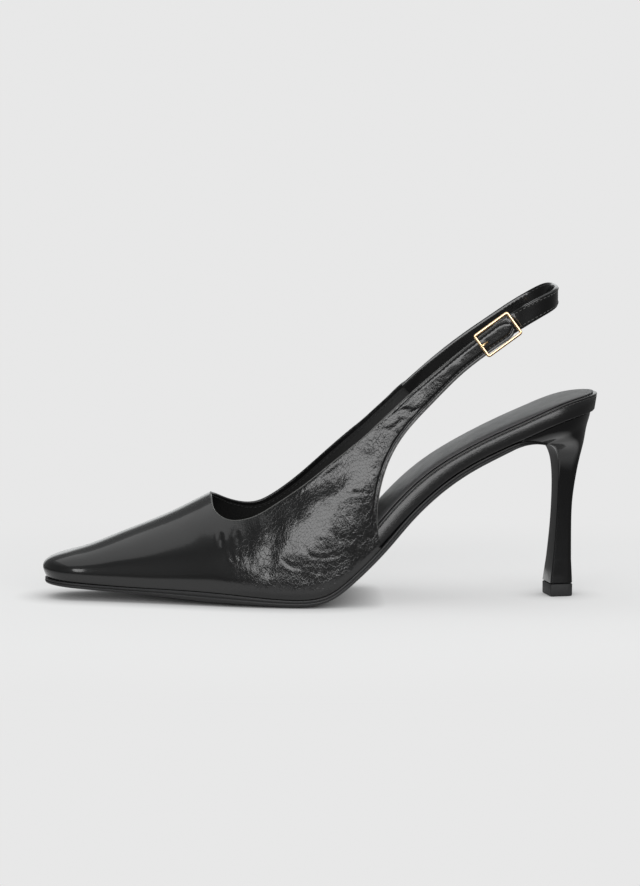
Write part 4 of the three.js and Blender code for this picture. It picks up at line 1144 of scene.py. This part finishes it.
def sling_frame(rows):
    last = len(SLING) - 1
    forward = unit(sling_line(np.minimum(rows + 0.02, last)) - sling_line(np.maximum(rows - 0.02, 0)))
    outward = unit(np.stack([forward[:, 1], -forward[:, 0], 0 * rows], axis=1))
    outward[:, 2] = sling_curves[3](rows)
    across = unit(np.cross(outward, forward))
    outward = np.cross(forward, across)
    return forward, across, outward


def sling_solid():
    s = np.linspace(0, 1, 321)
    rows = (len(SLING) - 1) * np.where(s < 0.08, s * (0.25 + 0.75 * s / 0.08), s)
    middle = sling_line(rows)
    _, across, outward = sling_frame(rows)
    travelled = along(middle)
    half = STRAP_WIDTH / 2 * closing(travelled + 0.15, STRAP_WIDTH * 0.55, 2)
    thick = STRAP_THICKNESS / 2
    profile = [
        (-0.62, -1.0), (-0.9, -1.0), (-1.0, -0.72), (-1.0, -0.28), (-0.965, -0.18), (-1.0, -0.08),
        (-1.0, 0.55), (-0.94, 0.85), (-0.85, 0.97), (-0.72, 0.93), (-0.6, 1.0), (-0.25, 1.03),
    ]
    profile += [(-wide, out) for wide, out in profile[::-1]]
    rings = []
    for p, a, o, h in zip(middle, across, outward, half):
        h = max(h, 0.4)
        rings.append([p + a * wide * h + o * out * thick for wide, out in profile])
    return rings, (middle, across, outward, travelled)


rings, sling = sling_solid()
piece = mesh_object("sling_strap", *loft(rings), "strap_leather", STRAP_LEATHER, sharp=50)
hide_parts("sling_strap")

# ---------------------------------------------------------------- buckle


def buckle_place():
    x = BUCKLE_AT * LENGTH
    z = BUCKLE_HEIGHT * SLING_HEIGHT
    half = BUCKLE_LENGTH / 2
    rise = half * math.tan(BUCKLE_SLOPE)
    outward = wall_normal(x, z, -1)
    forward = unit(wall_point(x + half, z + rise, -1) - wall_point(x - half, z - rise, -1))
    across = unit(np.cross(outward, forward))
    forward = np.cross(across, outward)
    return np.stack([forward, across, outward], axis=1), wall_point(x, z, -1)


buckle_turn, buckle_middle = buckle_place()


def on_buckle(points):
    return np.asarray(points, float) @ buckle_turn.T + buckle_middle


def frame_rings():
    """A rounded square bar swept round the buckle's four sides."""
    bar = BUCKLE_BAR / 2
    x, y, r = BUCKLE_LENGTH / 2 - bar, BUCKLE_WIDTH / 2 - bar, BUCKLE_CORNER - 0.1
    path, facing = [], []
    for cx, cy, start in ((x - r, y - r, 0), (r - x, y - r, 90), (r - x, r - y, 180), (x - r, r - y, 270)):
        for a in np.radians(np.linspace(start, start + 90, 9)):
            path.append((cx + r * math.cos(a), cy + r * math.sin(a), 0))
            facing.append((math.cos(a), math.sin(a), 0))
    rings = []
    deep = BUCKLE_DEPTH / 2
    angle = np.linspace(0, 2 * math.pi, 20, endpoint=False)
    for p, f in zip(np.array(path), np.array(facing)):
        c, s = np.cos(angle), np.sin(angle)
        wide = bar * np.sign(c) * np.abs(c) ** 0.62
        high = deep * np.sign(s) * np.abs(s) ** 0.62
        rings.append(p + wide[:, None] * f + high[:, None] * np.array([0, 0, 1.0]) + [0, 0, GAP + deep])
    return rings + [rings[0]]


points, faces = loft([on_buckle(r) for r in frame_rings()], (False, False))
piece = mesh_object("buckle_frame", points, faces, "buckle_metal", BUCKLE_GOLD, sharp=None)
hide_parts("buckle_frame")

front_bar = BUCKLE_BAR - BUCKLE_LENGTH / 2
PRONG_HOLE = front_bar + PRONG_REACH - PRONG_THICKNESS / 2
rest = 2 * GAP + BUCKLE_DEPTH + PRONG_THICKNESS / 2
route = [
    (front_bar - BUCKLE_BAR - 0.1, rest - 0.25),
    (front_bar - BUCKLE_BAR + 0.2, rest),
    (front_bar, rest),
    (front_bar + 0.7, rest - 0.1),
    (PRONG_HOLE - 0.8, 1.1),
    (PRONG_HOLE - 0.15, 0.4),
    (PRONG_HOLE, -0.3),
    (PRONG_HOLE, -1.3),
]
travelled = along(np.array(route))
s = np.linspace(0, travelled[-1], 34)
forward, upward = (smooth(travelled, places)(s) for places in zip(*route))
path = np.stack([forward, 0 * s, upward], axis=1)
radius = PRONG_WIDTH / 2 * np.minimum(closing(s + 0.05, 0.7, 2), mix(1, 0.7, s / s[-1]))
rings = tube(path, radius, sides=14, squash=0.66, normals=np.tile([0.3, 0, 1.0], (len(path), 1)))
points, faces = loft([on_buckle(r) for r in rings])
piece = mesh_object("buckle_prong", points, faces, "buckle_metal", BUCKLE_GOLD, sharp=None)
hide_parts("buckle_prong")

# the strap's punched holes
for number in (-2, -1, 0, 1):
    centre = on_buckle([PRONG_HOLE + number * STRAP_HOLE_PITCH, 0, 0])
    place = wall_point(centre[0], centre[2], -1)
    outward = wall_normal(centre[0], centre[2], -1)
    path = place + outward * np.linspace(3, -3, 2)[:, None]
    rings = tube(path, 0.72 if number else 0.95, sides=24)
    cut_away(upper, *loft(rings))
upper.data.set_sharp_from_angle(angle=math.radians(50))

# ---------------------------------------------------------------- stitches


def stitches(name, path, normals, pitch=2.1, length=1.45, radius=0.2, sink=0.02, slot=None, thread=THREAD):
    """A row of short threads along a path, each dipping into the leather at its ends."""
    path = np.asarray(path, float)
    total = along(path)[-1]
    count = max(1, int(total / pitch))
    points, faces = [], []
    for k in range(count):
        start = (k + 0.5) * total / count - length / 2
        d = start + length * np.linspace(0, 1, 6)
        line, normal = resample(path, d, normals)
        normal = unit(normal)
        arch = np.array([-0.8, 0.15, 0.6, 0.6, 0.15, -0.8])[:, None] * radius + sink
        thick = radius * np.array([0.7, 1, 1, 1, 1, 0.7])
        rings = tube(line + normal * arch, thick, sides=6, normals=normal)
        p, f = loft(rings)
        faces += offset(f, points)
        points.append(p)
    return mesh_object(name, np.concatenate(points), faces, slot, thread, sharp=None, merge=0)


def offset(faces, points):
    start = sum(len(p) for p in points)
    return [tuple(v + start for v in face) for face in faces]


def wall_path(side, which, inset, start=0, end=None):
    """A path on the upper's outside, so far in from its back edge or topline, and its normals."""
    first = CAP_COLUMNS + VAMP_COLUMNS
    lines = upper_sides[side][first + QUARTER_COLUMNS :] if which == "back" else upper_sides[side][first:]
    lines = lines[start:end]
    path = []
    for line in lines:
        travelled = along(line)
        d = min(inset, 0.45 * travelled[-1])
        path.append(resample(line, np.array([d if which == "back" else travelled[-1] - d]))[0])
    path = np.array(path)
    distances = np.arange(0, along(path)[-1], 0.7)
    path = resample(path, distances)
    normals = wall_normal(path[:, 0], path[:, 2], side)
    return path, normals


for side, label in ((-1, "outer"), (1, "inner")):
    path, normals = wall_path(side, "back", 1.5, start=2, end=-8)
    stitches(f"stitch_back_{label}", path - 0.3 * normals, normals, slot="upper_leather")
    path, normals = wall_path(side, "top", 1.4, start=QUARTER_COLUMNS + 12, end=-8)
    stitches(f"stitch_strap_{label}", path - 0.08 * normals, normals, slot="upper_leather")
    path, normals = wall_path(side, "top", 2.9, start=6, end=-8)
    stitches(f"stitch_lining_{label}", path - (UPPER_WALL + 0.02) * normals, -normals, slot="upper_leather")
    # lighter tubes along the topline and the back edge: a painted highlight on the rounded edges
    for which, radius, end in (("top", 0.27, -6), ("back", 0.2, -6)):
        path, normals = wall_path(side, which, 0.05, end=end)
        rings = tube(path - 0.12 * normals, radius, sides=8, normals=normals)
        mesh_object(f"edge_{which}_{label}", *loft(rings), "upper_leather", EDGE_HIGHLIGHT, sharp=None, merge=0)

middle, across, outward, travelled = sling
d = np.arange(3.0, travelled[-1] - 2, 0.8)
for sign, label in ((-1, "low"), (1, "top")):
    seam = middle + across * sign * 0.72 * STRAP_WIDTH / 2
    path, facing = resample(seam + outward * 0.93 * STRAP_THICKNESS / 2, d, outward)
    stitches(f"stitch_sling_{label}", path, unit(facing), slot="strap_leather", thread=GREY_THREAD)
    path, facing = resample(seam - outward * STRAP_THICKNESS / 2, d, outward)
    stitches(f"stitch_sling_{label}_inside", path, -unit(facing), slot="strap_leather")

xs = np.arange(QUARTER_AT * LENGTH - 6, LAST_SEAT - 1.2, 0.9)
for side, label in ((-1, "outer"), (1, "inner")):
    heights = 1.3 * GAP + board_thickness(xs) - 1.15
    row = np.array([over_edge(x, side, -0.18, above) for x, above in zip(xs, heights)])
    out = np.tile([0.0, side, 0.0], (len(xs), 1))
    look = {"pitch": 1.9, "length": 1.5, "radius": 0.17, "slot": "insole_cover", "thread": GREY_THREAD}
    stitches(f"stitch_band_{label}", row, out, **look)

# ---------------------------------------------------------------- floor, light and camera

bpy.context.scene.view_settings.view_transform = "Standard"
WHITE = (0.806, 0.806, 0.806, 1)


def bare_tree(owner):
    owner.use_nodes = True
    owner.node_tree.nodes.clear()
    return owner.node_tree


def growing(tree, value, low, high, most=1.0):
    """0 at low and "most" at high, smooth."""
    inputs = {"Value": value, "From Min": low, "From Max": high, "To Max": most}
    return add_node(tree, "ShaderNodeMapRange", inputs, interpolation_type="SMOOTHSTEP").outputs[0]


def by_camera(tree, reflected, seen):
    """One shader for what the camera sees itself and another for what the shoe reflects."""
    camera_ray = add_node(tree, "ShaderNodeLightPath").outputs["Is Camera Ray"]
    return add_node(tree, "ShaderNodeMixShader", {0: camera_ray, 1: reflected, 2: seen}).outputs[0]


def studio_world():
    """A dim room with a lighter ceiling and a bright backdrop behind the shoe."""
    world = bpy.data.worlds.new("studio")
    tree = bare_tree(world)
    direction = add_node(tree, "ShaderNodeTexCoord").outputs["Generated"]
    axes = add_node(tree, "ShaderNodeSeparateXYZ", {0: direction}).outputs
    ceiling = growing(tree, axes["Z"], 0.55, 0.85, 0.3)
    backdrop = growing(tree, axes["Y"], 0.88, 0.97, 0.85)
    light = add_node(tree, "ShaderNodeMath", {0: ceiling, 1: backdrop}).outputs[0]
    light = add_node(tree, "ShaderNodeMath", {0: light, 1: 0.19}).outputs[0]
    room = add_node(tree, "ShaderNodeBackground", {"Color": (0.98, 1.0, 1.0, 1), "Strength": light})
    seen = add_node(tree, "ShaderNodeBackground", {"Color": WHITE})
    both = by_camera(tree, room.outputs[0], seen.outputs[0])
    add_node(tree, "ShaderNodeOutputWorld", {"Surface": both})
    return world


def floor_material():
    """White paper with a glow of its own, dimmed by ambient occlusion under and beside the shoe as a painted
    contact shadow, which runs out into white, or into a dark room in reflections.
    """
    made = bpy.data.materials.new("floor")
    tree = bare_tree(made)
    paper = add_node(tree, "ShaderNodeBsdfDiffuse", {"Color": (0.45, 0.45, 0.45, 1)}).outputs[0]
    # the glow fades where ambient occlusion finds the shoe close by: a painted contact shadow under and
    # beside the shoe
    painted_contact_shadow = add_node(tree, "ShaderNodeAmbientOcclusion", {"Distance": 0.017}).outputs["AO"]
    glow = add_node(tree, "ShaderNodeEmission", {"Color": (0.45, 0.45, 0.45, 1), "Strength": painted_contact_shadow})
    near = add_node(tree, "ShaderNodeAddShader", {0: paper, 1: glow.outputs[0]}).outputs[0]
    inputs = {0: add_node(tree, "ShaderNodeTexCoord").outputs["Object"], 1: (0.85, 1.2, 1)}
    place = add_node(tree, "ShaderNodeVectorMath", inputs, operation="MULTIPLY").outputs[0]
    away = add_node(tree, "ShaderNodeVectorMath", {0: place}, operation="LENGTH").outputs["Value"]

    def fading(color, low, high):
        far = add_node(tree, "ShaderNodeEmission", {"Color": color}).outputs[0]
        share = growing(tree, away, low, high)
        return add_node(tree, "ShaderNodeMixShader", {0: share, 1: near, 2: far}).outputs[0]

    both = by_camera(tree, fading((0.1, 0.1, 0.1, 1), 0.12, 0.18), fading(WHITE, 0.14, 0.34))
    add_node(tree, "ShaderNodeOutputMaterial", {"Surface": both})
    return made


bpy.context.scene.world = studio_world()
mesh = bpy.data.meshes.new("floor")
mesh.from_pydata([(-8, -8, 0), (8, -8, 0), (8, 8, 0), (-8, 8, 0)], [], [(0, 1, 2, 3)])
mesh.materials.append(floor_material())
floor = bpy.data.objects.new("floor", mesh)
bpy.context.scene.collection.objects.link(floor)

target = Vector((0, 0, 0.069))


def softbox(name, azimuth, elevation, distance, size, power):
    """An area light facing the shoe. Azimuth 0 is the camera's side and 90 the heel's."""
    a, e = math.radians(azimuth), math.radians(elevation)
    toward = Vector((math.sin(a) * math.cos(e), -math.cos(a) * math.cos(e), math.sin(e)))
    light = bpy.data.lights.new(name, "AREA")
    light.shape = "RECTANGLE"
    light.size, light.size_y = size
    light.energy = power
    lamp = bpy.data.objects.new(name, light)
    lamp.location = target + toward * distance
    lamp.rotation_euler = toward.to_track_quat("Z", "Y").to_euler()
    bpy.context.scene.collection.objects.link(lamp)


softbox("front", 2, 16.5, 1.8, (2.1, 0.68), 21)
softbox("top", 0, 90, 1.6, (2.7, 2.6), 14)

lens = bpy.data.cameras.new("camera")
lens.sensor_width = 36
lens.lens = 36 * 2.0 / (886 * 0.000447)
camera = bpy.data.objects.new("camera", lens)
elevation, turn = math.radians(6.5), math.radians(2)
level = math.cos(elevation)
toward = Vector((-math.sin(turn) * level, -math.cos(turn) * level, math.sin(elevation)))
camera.location = target + toward * 2.0
camera.rotation_euler = toward.to_track_quat("Z", "Y").to_euler()
bpy.context.scene.collection.objects.link(camera)
bpy.context.scene.camera = camera
